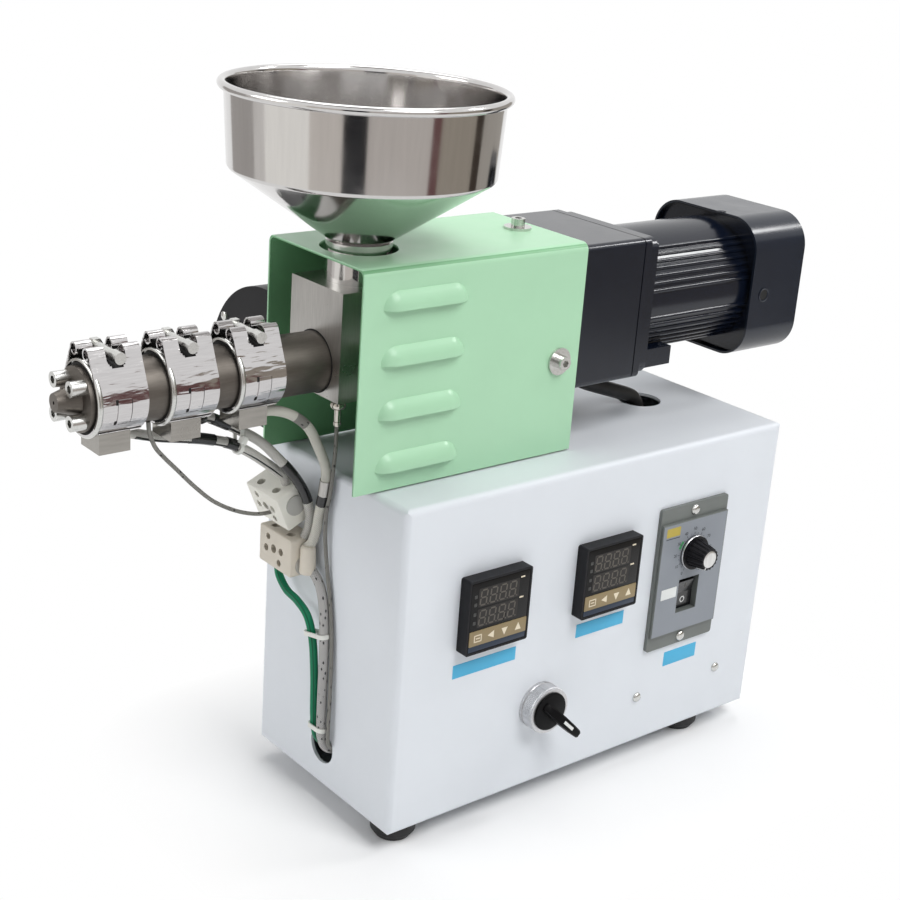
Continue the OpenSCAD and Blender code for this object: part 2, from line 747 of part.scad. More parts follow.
module terminal_box(i) {
    top_z = axis_z;
    bottom_z = axis_z - band_r - box_h;
    color("silver") set_down() difference() {
        translate([band_x[i] - box_len / 2, axis_y - box_w / 2, bottom_z])
            cube([box_len, box_w, top_z - bottom_z]);
        bar_x(band_x[i] - box_len, band_x[i] + box_len, 2 * band_r);
        bar_x(band_x[i] - box_len, band_x[i] - band_w / 2 + bead_w, 2 * (band_r + bead_h));
    }
}

module terminal_box_front() { terminal_box(2); }
module terminal_box_middle() { terminal_box(1); }
module terminal_box_rear() { terminal_box(0); }

module die_head() {
    entry_len = 5;
    color("gray") set_down() difference() {
        union() {
            bar_x(die_x0, barrel_x0, barrel_d);
            translate([tip_x, axis_y, axis_z]) rotate([0, 90, 0])
                cylinder(h = die_nose_len, d1 = die_tip_d, d2 = die_nose_d);
        }
        bar_x(tip_x - cut, barrel_x0 + cut, die_hole_d);
        translate([barrel_x0 - entry_len, axis_y, axis_z]) rotate([0, 90, 0])
            cylinder(h = entry_len + cut, d1 = die_hole_d, d2 = bore_d);
    }
}

module die_screws() {
    color("silver") set_down() translate([die_x0, axis_y, axis_z])
        for (a = [45, 135, 225, 315])
            rotate([a, 0, 0]) translate([0, 0, die_screw_r]) rotate([0, -90, 0]) difference() {
                cylinder(h = die_head_h, d = die_head_d);
                translate([0, 0, die_head_h - hex_depth]) cylinder(h = hex_depth + cut, d = hex_d, $fn = 6);
            }
}

module throat_probe() {
    nut_d = 8;
    stem_d = 3.5;
    color("goldenrod") set_down() translate([probe_x, probe_y, probe_z]) {
        cylinder(h = probe_len - probe_nut_h, d = stem_d);
        translate([0, 0, probe_len - probe_nut_h]) cylinder(h = probe_nut_h, d = nut_d, $fn = 6);
    }
}

// A two-pole ceramic connector that lies against the cabinet's left end
module connector(y, z) {
    hole_d = 7;
    hole_depth = 5;
    color("ivory") set_down() translate([-conn_d, y - conn_len / 2, z - conn_h / 2]) difference() {
        cube([conn_d, conn_len, conn_h]);
        for (side = [-1, 1])
            translate([-cut, conn_len / 2 + side * conn_len / 4, conn_h / 2])
                rotate([0, 90, 0]) cylinder(h = hole_depth + cut, d = hole_d);
    }
}

module upper_connector() { connector(conn_upper_y, conn_upper_z); }
module lower_connector() { connector(conn_lower_y, conn_lower_z); }

module blower() {
    hub_d = 26;
    back_t = 3;
    foot_gap = 3;
    color("black") set_down() translate([0, blower_y, blower_z]) difference() {
        along_x(blower_t) intersection() {
            circle(r = blower_r);
            translate([-blower_in, foot_gap - blower_up])
                square([blower_in + blower_r, blower_up + blower_r]);
        }
        translate([-cut, 0, 0]) rotate([0, 90, 0]) difference() {
            cylinder(h = blower_t - back_t + cut, d = inlet_d);
            cylinder(h = blower_t, d = hub_d);
        }
    }
}

module gearbox() {
    seam_w = 0.8;
    seam_back = 6;
    color("darkslategray") set_down() translate([cover_x1, axis_y, gear_z]) difference() {
        along_x(gear_len) round_rect(gear_w, gear_w, gear_edge_r);
        translate([gear_len - seam_back, 0, 0]) along_x(seam_w) difference() {
            square([2 * gear_w, 2 * gear_w], center = true);
            round_rect(gear_w - 2 * seam_w, gear_w - 2 * seam_w, gear_edge_r);
        }
    }
}

// The motor's outline: a round body with zones of ribs on its near and far sides
module motor_outline() {
    ribs_a_zone = 6;
    rib_w = 1.8;
    rib_pitch = 6.5;
    plain_half = 12.5;
    circle(d = motor_d - 2 * rib_h);
    for (side = [0, 180], way = [-1, 1], i = [0:ribs_a_zone - 1])
        rotate(side + way * (plain_half + i * rib_pitch))
            translate([motor_d / 4, -rib_w / 2]) square([motor_d / 4, rib_w]);
}

module motor() {
    flange_w = gear_w - 2;
    lug_w = 12;
    lug_len = fan_lap - 4;
    lug_reach = fan_w / 2 - fan_t;
    boss = [26, 16, 12];
    boss_inset = 4;
    color("darkslategray") set_down() translate([gear_x1, axis_y, gear_z]) {
        along_x(flange_t) round_rect(flange_w, flange_w, 2 * gear_edge_r);
        along_x(motor_len) motor_outline();
        translate([motor_len - lug_len, 0, 0]) along_x(lug_len) {
            square([2 * lug_reach, lug_w], center = true);
            square([lug_w, 2 * lug_reach], center = true);
        }
        translate([flange_t - cut, boss_inset - gear_w / 2, boss_inset - gear_w / 2]) cube(boss);
    }
}

module motor_fan_cover() {
    slot_w = 4;
    slot_pitch = 9;
    color("darkslategray") set_down() translate([fan_x0, axis_y, gear_z]) difference() {
        along_x(fan_len) round_rect(fan_w, fan_w, fan_corner_r);
        translate([-cut, 0, 0]) along_x(fan_len - fan_t + cut)
            round_rect(fan_w - 2 * fan_t, fan_w - 2 * fan_t, fan_corner_r - fan_t);
        for (i = [-3:3])
            translate([fan_len - fan_t - cut, i * slot_pitch - slot_w / 2, -fan_w / 4])
                cube([fan_t + 2 * cut, slot_w, fan_w / 2]);
    }
}

module controller(x) {
    bezel = 1.5;
    recess = 0.5;
    corner_r = 1.5;
    window = tc_w - 2 * bezel;
    color("black") set_down() translate([x, 0, tc_z]) difference() {
        out_from_panel(tc_out) round_rect(tc_w, tc_w, corner_r);
        translate([0, recess - tc_out, 0]) out_from_panel(recess + cut) square(window, center = true);
    }
}

module barrel_controller() { controller(tc_barrel_x); }
module feed_controller() { controller(tc_feed_x); }

module speed_plate() {
    corner_r = 2;
    tub_t = 1;
    color("darkgray") set_down() {
        difference() {
            union() {
                translate([plate_x, 0, plate_z]) out_from_panel(plate_t)
                    round_rect(plate_w, plate_h, corner_r);
                translate([plate_x, -plate_t + cut, plate_z]) out_from_panel(front_t + cut)
                    square([front_w, front_h], center = true);
                translate([plate_x, pocket_depth + tub_t, rocker_z])
                    out_from_panel(pocket_depth + tub_t + cut)
                        square([pocket_w, pocket_h] + 2 * [pocket_wall, pocket_wall], center = true);
            }
            translate([plate_x, pocket_depth, rocker_z])
                out_from_panel(pocket_depth + plate_t + front_t + cut)
                    square([pocket_w, pocket_h], center = true);
        }
        translate([plate_x, front_y0, knob_z]) rotate([90, 0, 0]) cylinder(h = shaft_len, d = shaft_d);
    }
}

module speed_knob() {
    flutes = 16;
    flute_d = 2.4;
    flute_out = 0.5;
    skirt_h = 3;
    body_d = knob_d - 4;
    lean = atan((body_d - knob_top_d) / 2 / (knob_h - skirt_h));
    base_y = front_y0 - turn_gap;
    color("black") set_down() translate([plate_x, base_y, knob_z]) rotate([90, 0, 0]) difference() {
        union() {
            cylinder(h = skirt_h, d = knob_d);
            translate([0, 0, skirt_h]) cylinder(h = knob_h - skirt_h, d1 = body_d, d2 = knob_top_d);
        }
        translate([0, 0, -cut]) cylinder(h = shaft_len - turn_gap + cut + fit, d = shaft_d + 2 * fit);
        for (i = [0:flutes - 1])
            rotate(i * 360 / flutes) translate([body_d / 2 + flute_out, 0, skirt_h])
                rotate([0, -lean, 0]) cylinder(h = knob_h, d = flute_d);
    }
}

module rocker_frame() {
    outer = [rocker_w, rocker_h] + 2 * [rocker_wall, rocker_wall];
    color("black") set_down() difference() {
        translate([plate_x, pocket_depth, rocker_z]) difference() {
            out_from_panel(rocker_frame_t) square(outer, center = true);
            translate([0, -rocker_floor, 0]) out_from_panel(rocker_frame_t)
                square([rocker_w, rocker_h], center = true);
        }
        translate([plate_x - rocker_w, rocker_axis_y, rocker_z])
            rotate([0, 90, 0]) cylinder(h = 2 * rocker_w, d = rocker_pin_d + 2 * fit);
    }
}

// The rocker tips on two pins in its frame; its underside slopes up from the middle to both ends
module rocker() {
    half_h = rocker_h / 2 - 2 * turn_gap;
    width = rocker_w - 2 * turn_gap;
    pin_len = rocker_w + 2;
    pin_r = rocker_pin_d / 2;
    rise = tan(rocker_tilt) * half_h;
    middle_out = 1.8;
    end_out = 3;
    color("black") set_down() translate([plate_x, rocker_axis_y, rocker_z]) rotate([rocker_tilt, 0, 0]) {
        translate([-width / 2, 0, 0]) along_x(width) polygon([
            [pin_r, 0], [pin_r - rise, half_h], [-end_out, half_h], [-middle_out, 0],
            [-end_out, -half_h], [pin_r - rise, -half_h]
        ]);
        translate([-pin_len / 2, 0, 0]) rotate([0, 90, 0]) cylinder(h = pin_len, d = rocker_pin_d);
    }
}

module selector_ring() {
    foot_t = 2;
    foot_step = 0.5;
    color("silver") set_down() translate([sel_x, 0, sel_z]) rotate([90, 0, 0]) difference() {
        union() {
            cylinder(h = foot_t, d = ring_d + 2 * foot_step);
            cylinder(h = ring_out, d = ring_d);
        }
        translate([0, 0, disc_seat]) cylinder(h = ring_out, d = sel_disc_d + 2 * turn_gap);
    }
}

module selector_lever() {
    lever_angle = -45;
    tail = sel_disc_d / 2 - lever_w / 2 - 1;
    color("black") set_down() translate([sel_x, 0, sel_z]) rotate([90, 0, 0]) {
        translate([0, 0, disc_seat + turn_gap])
            cylinder(h = disc_out - disc_seat - turn_gap, d = sel_disc_d);
        rotate(lever_angle) translate([0, 0, disc_out - cut]) linear_extrude(lever_out + cut) {
            translate([-tail, -lever_w / 2]) square([tail + lever_len - lever_w / 2, lever_w]);
            for (x = [-tail, lever_len - lever_w / 2])
                translate([x, 0]) circle(d = lever_w);
        }
    }
}

// A cord: a tube through the given points, with a ring of sides at each point
function unit(v) = v / norm(v);
function cord_way(p, i) =
    unit((i < len(p) - 1 ? p[i + 1] : p[i]) - (i > 0 ? p[i - 1] : p[i]));
function cord_side(d) = unit(cross(d, abs(d.z) > 0.9 ? [1, 0, 0] : [0, 0, 1]));

module cord(points, d, sides = 8) {
    rings = len(points);
    corners = [
        for (i = [0:rings - 1], k = [0:sides - 1])
            let (way = cord_way(points, i), u = cord_side(way), v = cross(way, u))
                points[i] + d / 2 * (cos(k * 360 / sides) * u + sin(k * 360 / sides) * v)
    ];
    walls = [
        for (i = [0:rings - 2], k = [0:sides - 1])
            let (a = i * sides + k, b = i * sides + (k + 1) % sides)
                [a, b, b + sides, a + sides]
    ];
    first_cap = [for (k = [sides - 1:-1:0]) k];
    last_cap = [for (k = [0:sides - 1]) (rings - 1) * sides + k];
    polyhedron(points = corners, faces = concat(walls, [first_cap, last_cap]), convexity = 6);
}

module heater_lead_front() { color("lightgray") set_down() cord(front_lead_way, lead_d); }
module heater_lead_middle() { color("lightgray") set_down() cord(middle_lead_way, lead_d); }
module heater_lead_rear() { color("white") set_down() cord(rear_lead_way, lead_d); }
module thermocouple_lead() { color("gray") set_down() cord(thermocouple_way, sensor_d); }
module probe_lead() { color("gray") set_down() cord(probe_way, sensor_d); }
module green_wires() { color("seagreen") set_down() cord(green_way, green_d); }
module grey_wires() { color("lightgray") set_down() cord(grey_way, grey_d); }
module motor_cable() { color("black") set_down() cord(motor_cable_way, motor_cable_d, 10); }

cabinet();
base_plate();
feet();
cover();
cover_screws();
gearbox_bracket();
bearing_housing();
feed_block();
throat_tube();
feed_screw();
hopper();
barrel();
heater_band_front();
heater_band_middle();
heater_band_rear();
clamp_bolts();
terminal_box_front();
terminal_box_middle();
terminal_box_rear();
die_head();
die_screws();
throat_probe();
upper_connector();
lower_connector();
blower();
gearbox();
motor();
motor_fan_cover();
barrel_controller();
feed_controller();
speed_plate();
speed_knob();
rocker_frame();
rocker();
selector_ring();
selector_lever();
heater_lead_front();
heater_lead_middle();
heater_lead_rear();
thermocouple_lead();
probe_lead();
green_wires();
grey_wires();
motor_cable();
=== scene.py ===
import itertools
import math

import bmesh
import bpy
from mathutils import Matrix, Vector


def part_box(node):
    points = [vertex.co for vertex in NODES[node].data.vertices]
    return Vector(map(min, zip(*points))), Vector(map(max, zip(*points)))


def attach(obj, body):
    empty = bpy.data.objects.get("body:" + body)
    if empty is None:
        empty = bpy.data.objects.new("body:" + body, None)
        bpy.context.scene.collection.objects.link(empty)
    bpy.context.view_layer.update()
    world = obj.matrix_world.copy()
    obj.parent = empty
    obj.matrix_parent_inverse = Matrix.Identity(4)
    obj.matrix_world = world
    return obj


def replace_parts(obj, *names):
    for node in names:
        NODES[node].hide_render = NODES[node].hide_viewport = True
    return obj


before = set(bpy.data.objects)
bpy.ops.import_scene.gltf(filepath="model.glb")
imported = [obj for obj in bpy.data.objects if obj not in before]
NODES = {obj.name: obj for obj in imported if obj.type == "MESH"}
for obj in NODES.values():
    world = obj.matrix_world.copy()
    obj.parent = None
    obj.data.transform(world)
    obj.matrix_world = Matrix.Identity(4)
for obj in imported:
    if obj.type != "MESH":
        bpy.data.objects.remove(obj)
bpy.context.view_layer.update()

CORNER = Vector(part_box("cabinet")[0])


def at(x, y, z):
    """A point given in millimetres from the cabinet's front left bottom corner."""
    return CORNER + Vector((x, y, z)) / 1000


def middle_of(node_name):
    """The middle of a node's box, in millimetres from the same corner."""
    low, high = (Vector(corner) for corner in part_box(node_name))
    return [round(length, 2) for length in ((low + high) / 2 - CORNER) * 1000]


AXIS_Y, AXIS_Z = middle_of("barrel")[1:]
HOPPER_X = middle_of("feed_block")[0]
GEAR_Z = middle_of("gearbox")[2]
BAND_X = {band: middle_of(f"heater_band_{band}")[0] for band in ("front", "middle", "rear")}
BAND_R, BAND_HALF = 20.0, 14.5


def srgb(*levels):
    """A linear colour from levels of 0 to 255."""
    out = []
    for level in levels:
        c = level / 255
        out.append(c / 12.92 if c <= 0.04045 else ((c + 0.055) / 1.055) ** 2.4)
    return tuple(out)


def add_object(name, data):
    obj = bpy.data.objects.new(name, data)
    bpy.context.scene.collection.objects.link(obj)
    return obj


# Camera and light: the camera's place, turn and lens were fitted to the photo
CAMERA_AT = (-522.03, -649.22, 556.02)
AZIMUTH, ELEVATION, ROLL = 0.708, 0.352, 0.075
FOCAL_PIXELS, PICTURE_PIXELS, SENSOR = 1635.547, 900, 36
LENS_SHIFT = (-0.0102, -0.0022)


def make_camera():
    data = bpy.data.cameras.new("camera")
    data.sensor_width = SENSOR
    data.lens = FOCAL_PIXELS * SENSOR / PICTURE_PIXELS
    data.shift_x, data.shift_y = LENS_SHIFT
    data.clip_start = 0.01
    camera = add_object("camera", data)
    camera.matrix_world = (
        Matrix.Translation(at(*CAMERA_AT)) @ Matrix.Rotation(-AZIMUTH, 4, "Z")
        @ Matrix.Rotation(math.pi / 2 - ELEVATION, 4, "X") @ Matrix.Rotation(ROLL, 4, "Z"))
    bpy.context.scene.camera = camera


def area_light(name, place, target, size, power):
    data = bpy.data.lights.new(name, "AREA")
    data.shape = "RECTANGLE"
    data.size = data.size_y = size
    data.energy = power
    lamp = add_object(name, data)
    lamp.location = place
    way = Vector(target) - Vector(place)
    lamp.rotation_euler = way.to_track_quat("-Z", "Y").to_euler()


# Shader nodes
def fill(tree, node, inputs):
    """Gives a node's sockets their values: numbers, or the outputs of other nodes."""
    for socket, value in inputs.items():
        if isinstance(value, bpy.types.NodeSocket):
            tree.links.new(value, node.inputs[socket])
        else:
            node.inputs[socket].default_value = value


def add_node(tree, kind, inputs, **settings):
    node = tree.nodes.new("ShaderNode" + kind)
    for setting, value in settings.items():
        setattr(node, setting, value)
    fill(tree, node, inputs)
    return node


def work_out(tree, operation, *values):
    """The result of a math node."""
    return add_node(tree, "Math", dict(enumerate(values)), operation=operation).outputs[0]


def seen_rays(tree):
    """1 for rays that show a surface to the eye: straight, mirrored or through glass."""
    rays = add_node(tree, "LightPath", {}).outputs
    mirrored = work_out(tree, "MAXIMUM", rays["Is Camera Ray"], rays["Is Glossy Ray"])
    return work_out(tree, "MAXIMUM", mirrored, rays["Is Transmission Ray"])


def make_world():
    """Soft light on the object, and white where the world itself shows."""
    world = bpy.data.worlds.new("studio")
    bpy.context.scene.world = world
    world.use_nodes = True
    tree = world.node_tree
    tree.nodes.clear()
    soft = add_node(tree, "Background", {"Color": (0.95, 0.97, 1.0, 1), "Strength": 0.27})
    seen = add_node(tree, "Background", {"Color": (1, 1, 1, 1), "Strength": 1.0})
    mix = add_node(tree, "MixShader", {0: seen_rays(tree), 1: soft.outputs[0], 2: seen.outputs[0]})
    add_node(tree, "OutputWorld", {"Surface": mix.outputs[0]})


def coords(tree, stretch=None, uv=False):
    """Object coordinates in metres, or the tube's own u and v, stretched per axis."""
    out = add_node(tree, "TexCoord", {}).outputs["UV" if uv else "Object"]
    if stretch is None:
        return out
    return add_node(tree, "Mapping", {"Vector": out, "Scale": stretch}).outputs["Vector"]


def noise(tree, vector, scale, detail=3, rough=0.55):
    return add_node(tree, "TexNoise", {
        "Vector": vector, "Scale": scale, "Detail": detail, "Roughness": rough}).outputs["Fac"]


def remap(tree, value, low, high, from_low=0.3, from_high=0.7):
    return add_node(tree, "MapRange", {
        "Value": value, "From Min": from_low, "From Max": from_high, "To Min": low, "To Max": high,
    }).outputs["Result"]


def ramp(tree, value, stops):
    node = add_node(tree, "ValToRGB", {"Fac": value})
    elements = node.color_ramp.elements
    for element, (place, colour) in zip(elements, stops):
        element.position = place
        element.color = (*colour, 1)
    return node.outputs["Color"]


def blend(tree, share, first, second):
    """A colour between two, by a share from 0 to 1."""
    inputs = {"Factor": share, "A": first, "B": second}
    return add_node(tree, "Mix", inputs, data_type="RGBA").outputs["Result"]


def bump(tree, height, strength, distance):
    inputs = {"Height": height, "Strength": strength, "Distance": distance}
    return add_node(tree, "Bump", inputs).outputs["Normal"]


# Materials
def new_material(name):
    mat = bpy.data.materials.new(name)
    mat.use_nodes = True
    tree = mat.node_tree
    return mat, tree, tree.nodes["Principled BSDF"]


def shade(colour, factor):
    return tuple(min(1.0, c * factor) for c in colour)


def paint(name, colour, rough, grain, depth, vary, coat=0.0, mirror=0.5):
    """Paint or plastic: a slight change of tone, uneven gloss and a fine grain."""
    mat, tree, bsdf = new_material(name)
    where = coords(tree)
    tone = noise(tree, where, 18, 4)
    gloss = noise(tree, where, 60, 4)
    fill(tree, bsdf, {
        "Base Color": ramp(tree, tone, [(0.3, shade(colour, 1 - vary)), (0.7, shade(colour, 1 + vary))]),
        "Roughness": remap(tree, gloss, rough * 0.88, rough * 1.14),
        "Normal": bump(tree, noise(tree, where, grain, 2), 0.35, depth),
        "Coat Weight": coat,
        "Coat Roughness": 0.15,
        "Specular IOR Level": mirror,
    })
    return mat


def metal(name, colour, rough, stretch, grain, vary, depth=0.00002):
    """Metal with fine tool marks drawn out along the axis with the smallest stretch."""
    mat, tree, bsdf = new_material(name)
    marks = noise(tree, coords(tree, stretch), grain)
    smudge = noise(tree, coords(tree), 45, 4)
    fill(tree, bsdf, {
        "Base Color": ramp(tree, marks, [(0.25, shade(colour, 1 - vary)), (0.75, shade(colour, 1 + vary))]),
        "Roughness": remap(tree, smudge, rough * 0.75, rough * 1.3),
        "Normal": bump(tree, marks, 0.3, depth),
        "Metallic": 1.0,
    })
    return mat


def foil(name, colour, rough):
    """Bright thin sheet that was bent by hand: long shallow dents along the barrel."""
    mat, tree, bsdf = new_material(name)
    dents = noise(tree, coords(tree, (0.22, 1, 1)), 210, 2, 0.5)
    fine = noise(tree, coords(tree, (0.06, 1, 1)), 900)
    fill(tree, bsdf, {
        "Base Color": ramp(tree, fine, [(0.25, shade(colour, 0.94)), (0.75, shade(colour, 1.05))]),
        "Roughness": remap(tree, fine, rough * 0.7, rough * 1.4),
        "Normal": bump(tree, dents, 0.75, 0.0008),
        "Metallic": 1.0,
    })
    return mat


def sleeve(name, colour, dark, tracer=None, weave=1.0):
    """A braided sleeve: crossing strands round the cord, painted darker as shade where they dip, and flecks
    of a tracer thread.
    """
    mat, tree, bsdf = new_material(name)
    uv = coords(tree, uv=True)
    strands = []
    for slant in (-52, 52):
        turned = add_node(tree, "Mapping", {"Vector": uv, "Rotation": (0, 0, math.radians(slant))})
        strands.append(add_node(tree, "TexWave", {
            "Vector": turned.outputs["Vector"], "Scale": 330 * weave, "Distortion": 0.6}).outputs["Fac"])
    height = work_out(tree, "MAXIMUM", *strands)
    # Painted shade: the low parts between strands take the darker colour.
    tone = ramp(tree, height, [(0.25, dark), (0.75, colour)])
    if tracer is not None:
        turned = add_node(tree, "Mapping", {
            "Vector": uv, "Rotation": (0, 0, math.radians(24)), "Scale": (330, 190, 1)})
        cells = add_node(tree, "TexVoronoi", {
            "Vector": turned.outputs["Vector"], "Scale": 1.0, "Randomness": 0.3})
        flecks = remap(tree, cells.outputs["Distance"], 1.0, 0.0, 0.16, 0.22)
        tone = blend(tree, flecks, tone, (*tracer, 1))
    fill(tree, bsdf, {"Base Color": tone, "Roughness": 0.75, "Normal": bump(tree, height, 0.6, 0.0002)})
    return mat


def twin_wire(name, colour, radius):
    """Two insulated wires lying side by side, told apart by the grooves between them, which are painted dark
    as shade.
    """
    mat, tree, bsdf = new_material(name)
    around = add_node(tree, "SeparateXYZ", {0: coords(tree, uv=True)}).outputs["X"]
    turn = work_out(tree, "MULTIPLY", around, 1 / radius)
    height = work_out(tree, "ABSOLUTE", work_out(tree, "SINE", turn))
    speck = noise(tree, coords(tree), 300)
    fill(tree, bsdf, {
        # Painted shade: the colour goes dark in the grooves.
        "Base Color": ramp(tree, height, [(0.03, shade(colour, 0.3)), (0.2, colour)]),
        "Roughness": remap(tree, speck, 0.3, 0.5),
        "Normal": bump(tree, height, 0.5, 0.0004),
        "Specular IOR Level": 0.25,
    })
    return mat


M = {
    "white": paint("white_powder", srgb(223, 227, 232), 0.42, 1100, 0.00006, 0.015),
    "green": paint("green_powder_inner_shade", srgb(172, 216, 180), 0.33, 900, 0.00009, 0.02),
    "rubber": paint("foot_rubber", (0.014, 0.014, 0.015), 0.7, 700, 0.0001, 0.15),
    "zinc": metal("zinc_plate", (0.62, 0.62, 0.60), 0.24, (1, 1, 1), 900, 0.08),
    "steel": metal("ground_steel", (0.45, 0.44, 0.42), 0.34, (1, 1, 0.07), 1100, 0.09),
    "polished": metal("polished_steel", (0.60, 0.588, 0.58), 0.11, (1, 1, 0.03), 350, 0.03, 0.000004),
    "bright": foil("bright_sheet", (0.58, 0.565, 0.565), 0.10),
    "dark_steel": metal("nitrided_steel", (0.15, 0.135, 0.12), 0.46, (0.12, 1, 1), 900, 0.09),
    "sheet": metal("plain_sheet", (0.34, 0.325, 0.30), 0.22, (0.06, 1, 1), 600, 0.08),
    "probe": metal("probe_metal", (0.56, 0.53, 0.48), 0.16, (1, 1, 1), 700, 0.08),
    "ceramic": paint("ivory_ceramic", srgb(225, 223, 213), 0.5, 800, 0.00008, 0.07),
    "warm_ceramic": paint("warm_ceramic", srgb(210, 202, 188), 0.5, 800, 0.00008, 0.08),
    "stone": paint("grey_ceramic", srgb(178, 177, 172), 0.6, 800, 0.00008, 0.07),
    "plastic": paint("black_plastic", (0.008, 0.008, 0.010), 0.40, 1500, 0.00004, 0.12, 0.0, 0.2),
    "lever_black": paint("lever_black", (0.0035, 0.0035, 0.004), 0.38, 1500, 0.00003, 0.1, 0.0, 0.1),
    "gloss": paint("gloss_black", (0.012, 0.012, 0.013), 0.22, 900, 0.00002, 0.1, 0.3),
    "motor": paint("motor_paint", srgb(13, 19, 32), 0.2, 500, 0.00001, 0.08, 0.2, 0.35),
    "fan": paint("fan_cover_paint", srgb(22, 29, 42), 0.24, 500, 0.00001, 0.06, 0.2, 0.35),
    "plate": paint("plate_grey", srgb(110, 114, 111), 0.45, 1100, 0.00004, 0.04),
    "face": paint("plate_face", srgb(138, 143, 150), 0.5, 1100, 0.00003, 0.03),
    "aluminium": metal("ring_aluminium", (0.62, 0.62, 0.63), 0.36, (1, 0.03, 1), 900, 0.12),
    "black_sleeve": paint("black_sleeve", (0.012, 0.012, 0.012), 0.5, 1500, 0.00008, 0.15),
    "green_wire": twin_wire("green_wire", (0.002, 0.185, 0.085), 0.0025),
    "white_sleeve": sleeve("white_sleeve", srgb(206, 204, 194), srgb(160, 158, 148)),
    "glass_sleeve": sleeve("glass_sleeve", srgb(202, 200, 194), srgb(142, 140, 135)),
    "grey_sleeve": sleeve("grey_sleeve", srgb(186, 184, 182), srgb(122, 120, 118), (0.02, 0.02, 0.02)),
    "braid": sleeve("metal_braid", srgb(140, 138, 132), srgb(78, 76, 72), (0.02, 0.02, 0.02), 1.6),
    "tie": paint("nylon_tie", srgb(226, 226, 220), 0.4, 900, 0.00002, 0.03),
    "label": paint("blue_label", srgb(76, 178, 219), 0.5, 700, 0.00002, 0.05),
    "sticker": paint("white_sticker", srgb(226, 228, 226), 0.55, 700, 0.00002, 0.03),
    "yellow": paint("yellow_mark", srgb(186, 166, 74), 0.5, 900, 0.00002, 0.05),
    "mark_green": paint("green_mark", srgb(58, 138, 84), 0.5, 900, 0.00002, 0.05),
    "ink": paint("dark_print", srgb(58, 60, 66), 0.55, 900, 0.00001, 0.05),
    "window": paint("display_window", srgb(11, 10, 10), 0.16, 900, 0.00001, 0.1, 0.05, 0.25),
    "segment": paint("unlit_segment", srgb(86, 80, 72), 0.4, 900, 0.00001, 0.08),
    "display": paint("dim_display", srgb(36, 33, 31), 0.3, 900, 0.00001, 0.06, 0.0, 0.3),
    "keys": paint("key_strip", srgb(143, 126, 92), 0.5, 1200, 0.00004, 0.05),
    "arrow": paint("key_print", srgb(226, 214, 190), 0.5, 900, 0.00001, 0.03),
    "blue": paint("blue_strip", srgb(22, 40, 62), 0.35, 900, 0.00002, 0.06),
    "lamp": paint("unlit_lamp", srgb(52, 52, 50), 0.35, 900, 0.00001, 0.1),
    "cap": metal("knob_cap", (0.74, 0.74, 0.73), 0.34, (1, 1, 0.05), 1200, 0.1),
    "white_mark": paint("white_mark", srgb(225, 226, 224), 0.5, 900, 0.00001, 0.03),
    # Painted shade: near black for holes, slots, gaps and the band windows, in place of their shade.
    "hollow": paint("dark_hollow", (0.006, 0.006, 0.006), 0.8, 700, 0.00004, 0.2),
}


def painted_inner_shade(mat, colour, node):
    """Painted shade: a darker green on the cover's inner faces, between its side walls and under its top."""
    half_width, top = 45.75, 340.4
    tree = mat.node_tree
    bsdf = tree.nodes["Principled BSDF"]
    outer = bsdf.inputs["Base Color"].links[0].from_socket
    middle = node.matrix_world.inverted() @ at(0, AXIS_Y, top)
    place = add_node(tree, "SeparateXYZ", {0: coords(tree)}).outputs
    amid = work_out(tree, "COMPARE", place["Y"], middle.y, half_width / 1000)
    under = work_out(tree, "LESS_THAN", place["Z"], middle.z)
    inside = work_out(tree, "MULTIPLY", amid, under)
    fill(tree, bsdf, {"Base Color": blend(tree, inside, outer, (*colour, 1))})


# The cover's inner faces are painted a darker green as shade.
painted_inner_shade(M["green"], (0.18, 0.42, 0.21), NODES["cover"])

# Looks of the solids that show as they are
TERMINAL_BOXES = [f"terminal_box_{band}" for band in BAND_X]
LOOKS = {
    "white": ["cabinet", "base_plate"],
    "rubber": ["feet"],
    "green": ["cover"],
    "zinc": ["cover_screws", "clamp_bolts", "die_screws"],
    "steel": ["gearbox_bracket", "bearing_housing", "feed_block", "feed_screw"],
    "polished": ["throat_tube"],
    "dark_steel": ["barrel", "die_head"],
    "sheet": TERMINAL_BOXES,
    "plastic": ["blower", "barrel_controller", "feed_controller", "speed_knob", "rocker_frame"],
    "gloss": ["rocker"],
    "motor": ["gearbox", "motor"],
    "fan": ["motor_fan_cover"],
    "plate": ["speed_plate"],
    "aluminium": ["selector_ring"],
}
for look, names in LOOKS.items():
    for node_name in names:
        node = NODES[node_name]
        if not node.material_slots:
            node.data.materials.append(M[look])
        for material_slot in node.material_slots:
            material_slot.material = M[look]

# Edges that the maker broke: width of the bevel in millimetres
SOFT_EDGES = {
    "cabinet": 0.5, "base_plate": 0.4, "cover": 0.35, "feed_block": 0.7, "bearing_housing": 0.7,
    "gearbox_bracket": 0.7, "gearbox": 0.8, "barrel_controller": 0.35, "feed_controller": 0.35,
    "speed_plate": 0.5, "rocker": 0.3, "blower": 1.0, "die_head": 0.5,
    **dict.fromkeys(TERMINAL_BOXES, 0.9),
}
for node_name, width in SOFT_EDGES.items():
    soft_edge = NODES[node_name].modifiers.new("soft_edge", "BEVEL")
    soft_edge.width = width / 1000
    soft_edge.segments = 2
    soft_edge.limit_method = "ANGLE"
    soft_edge.angle_limit = math.radians(40)
    soft_edge.use_clamp_overlap = True


# Meshes: a profile starts and ends at TIP where it closes on its axis
SHARP = math.radians(35)
TIP = 0.001


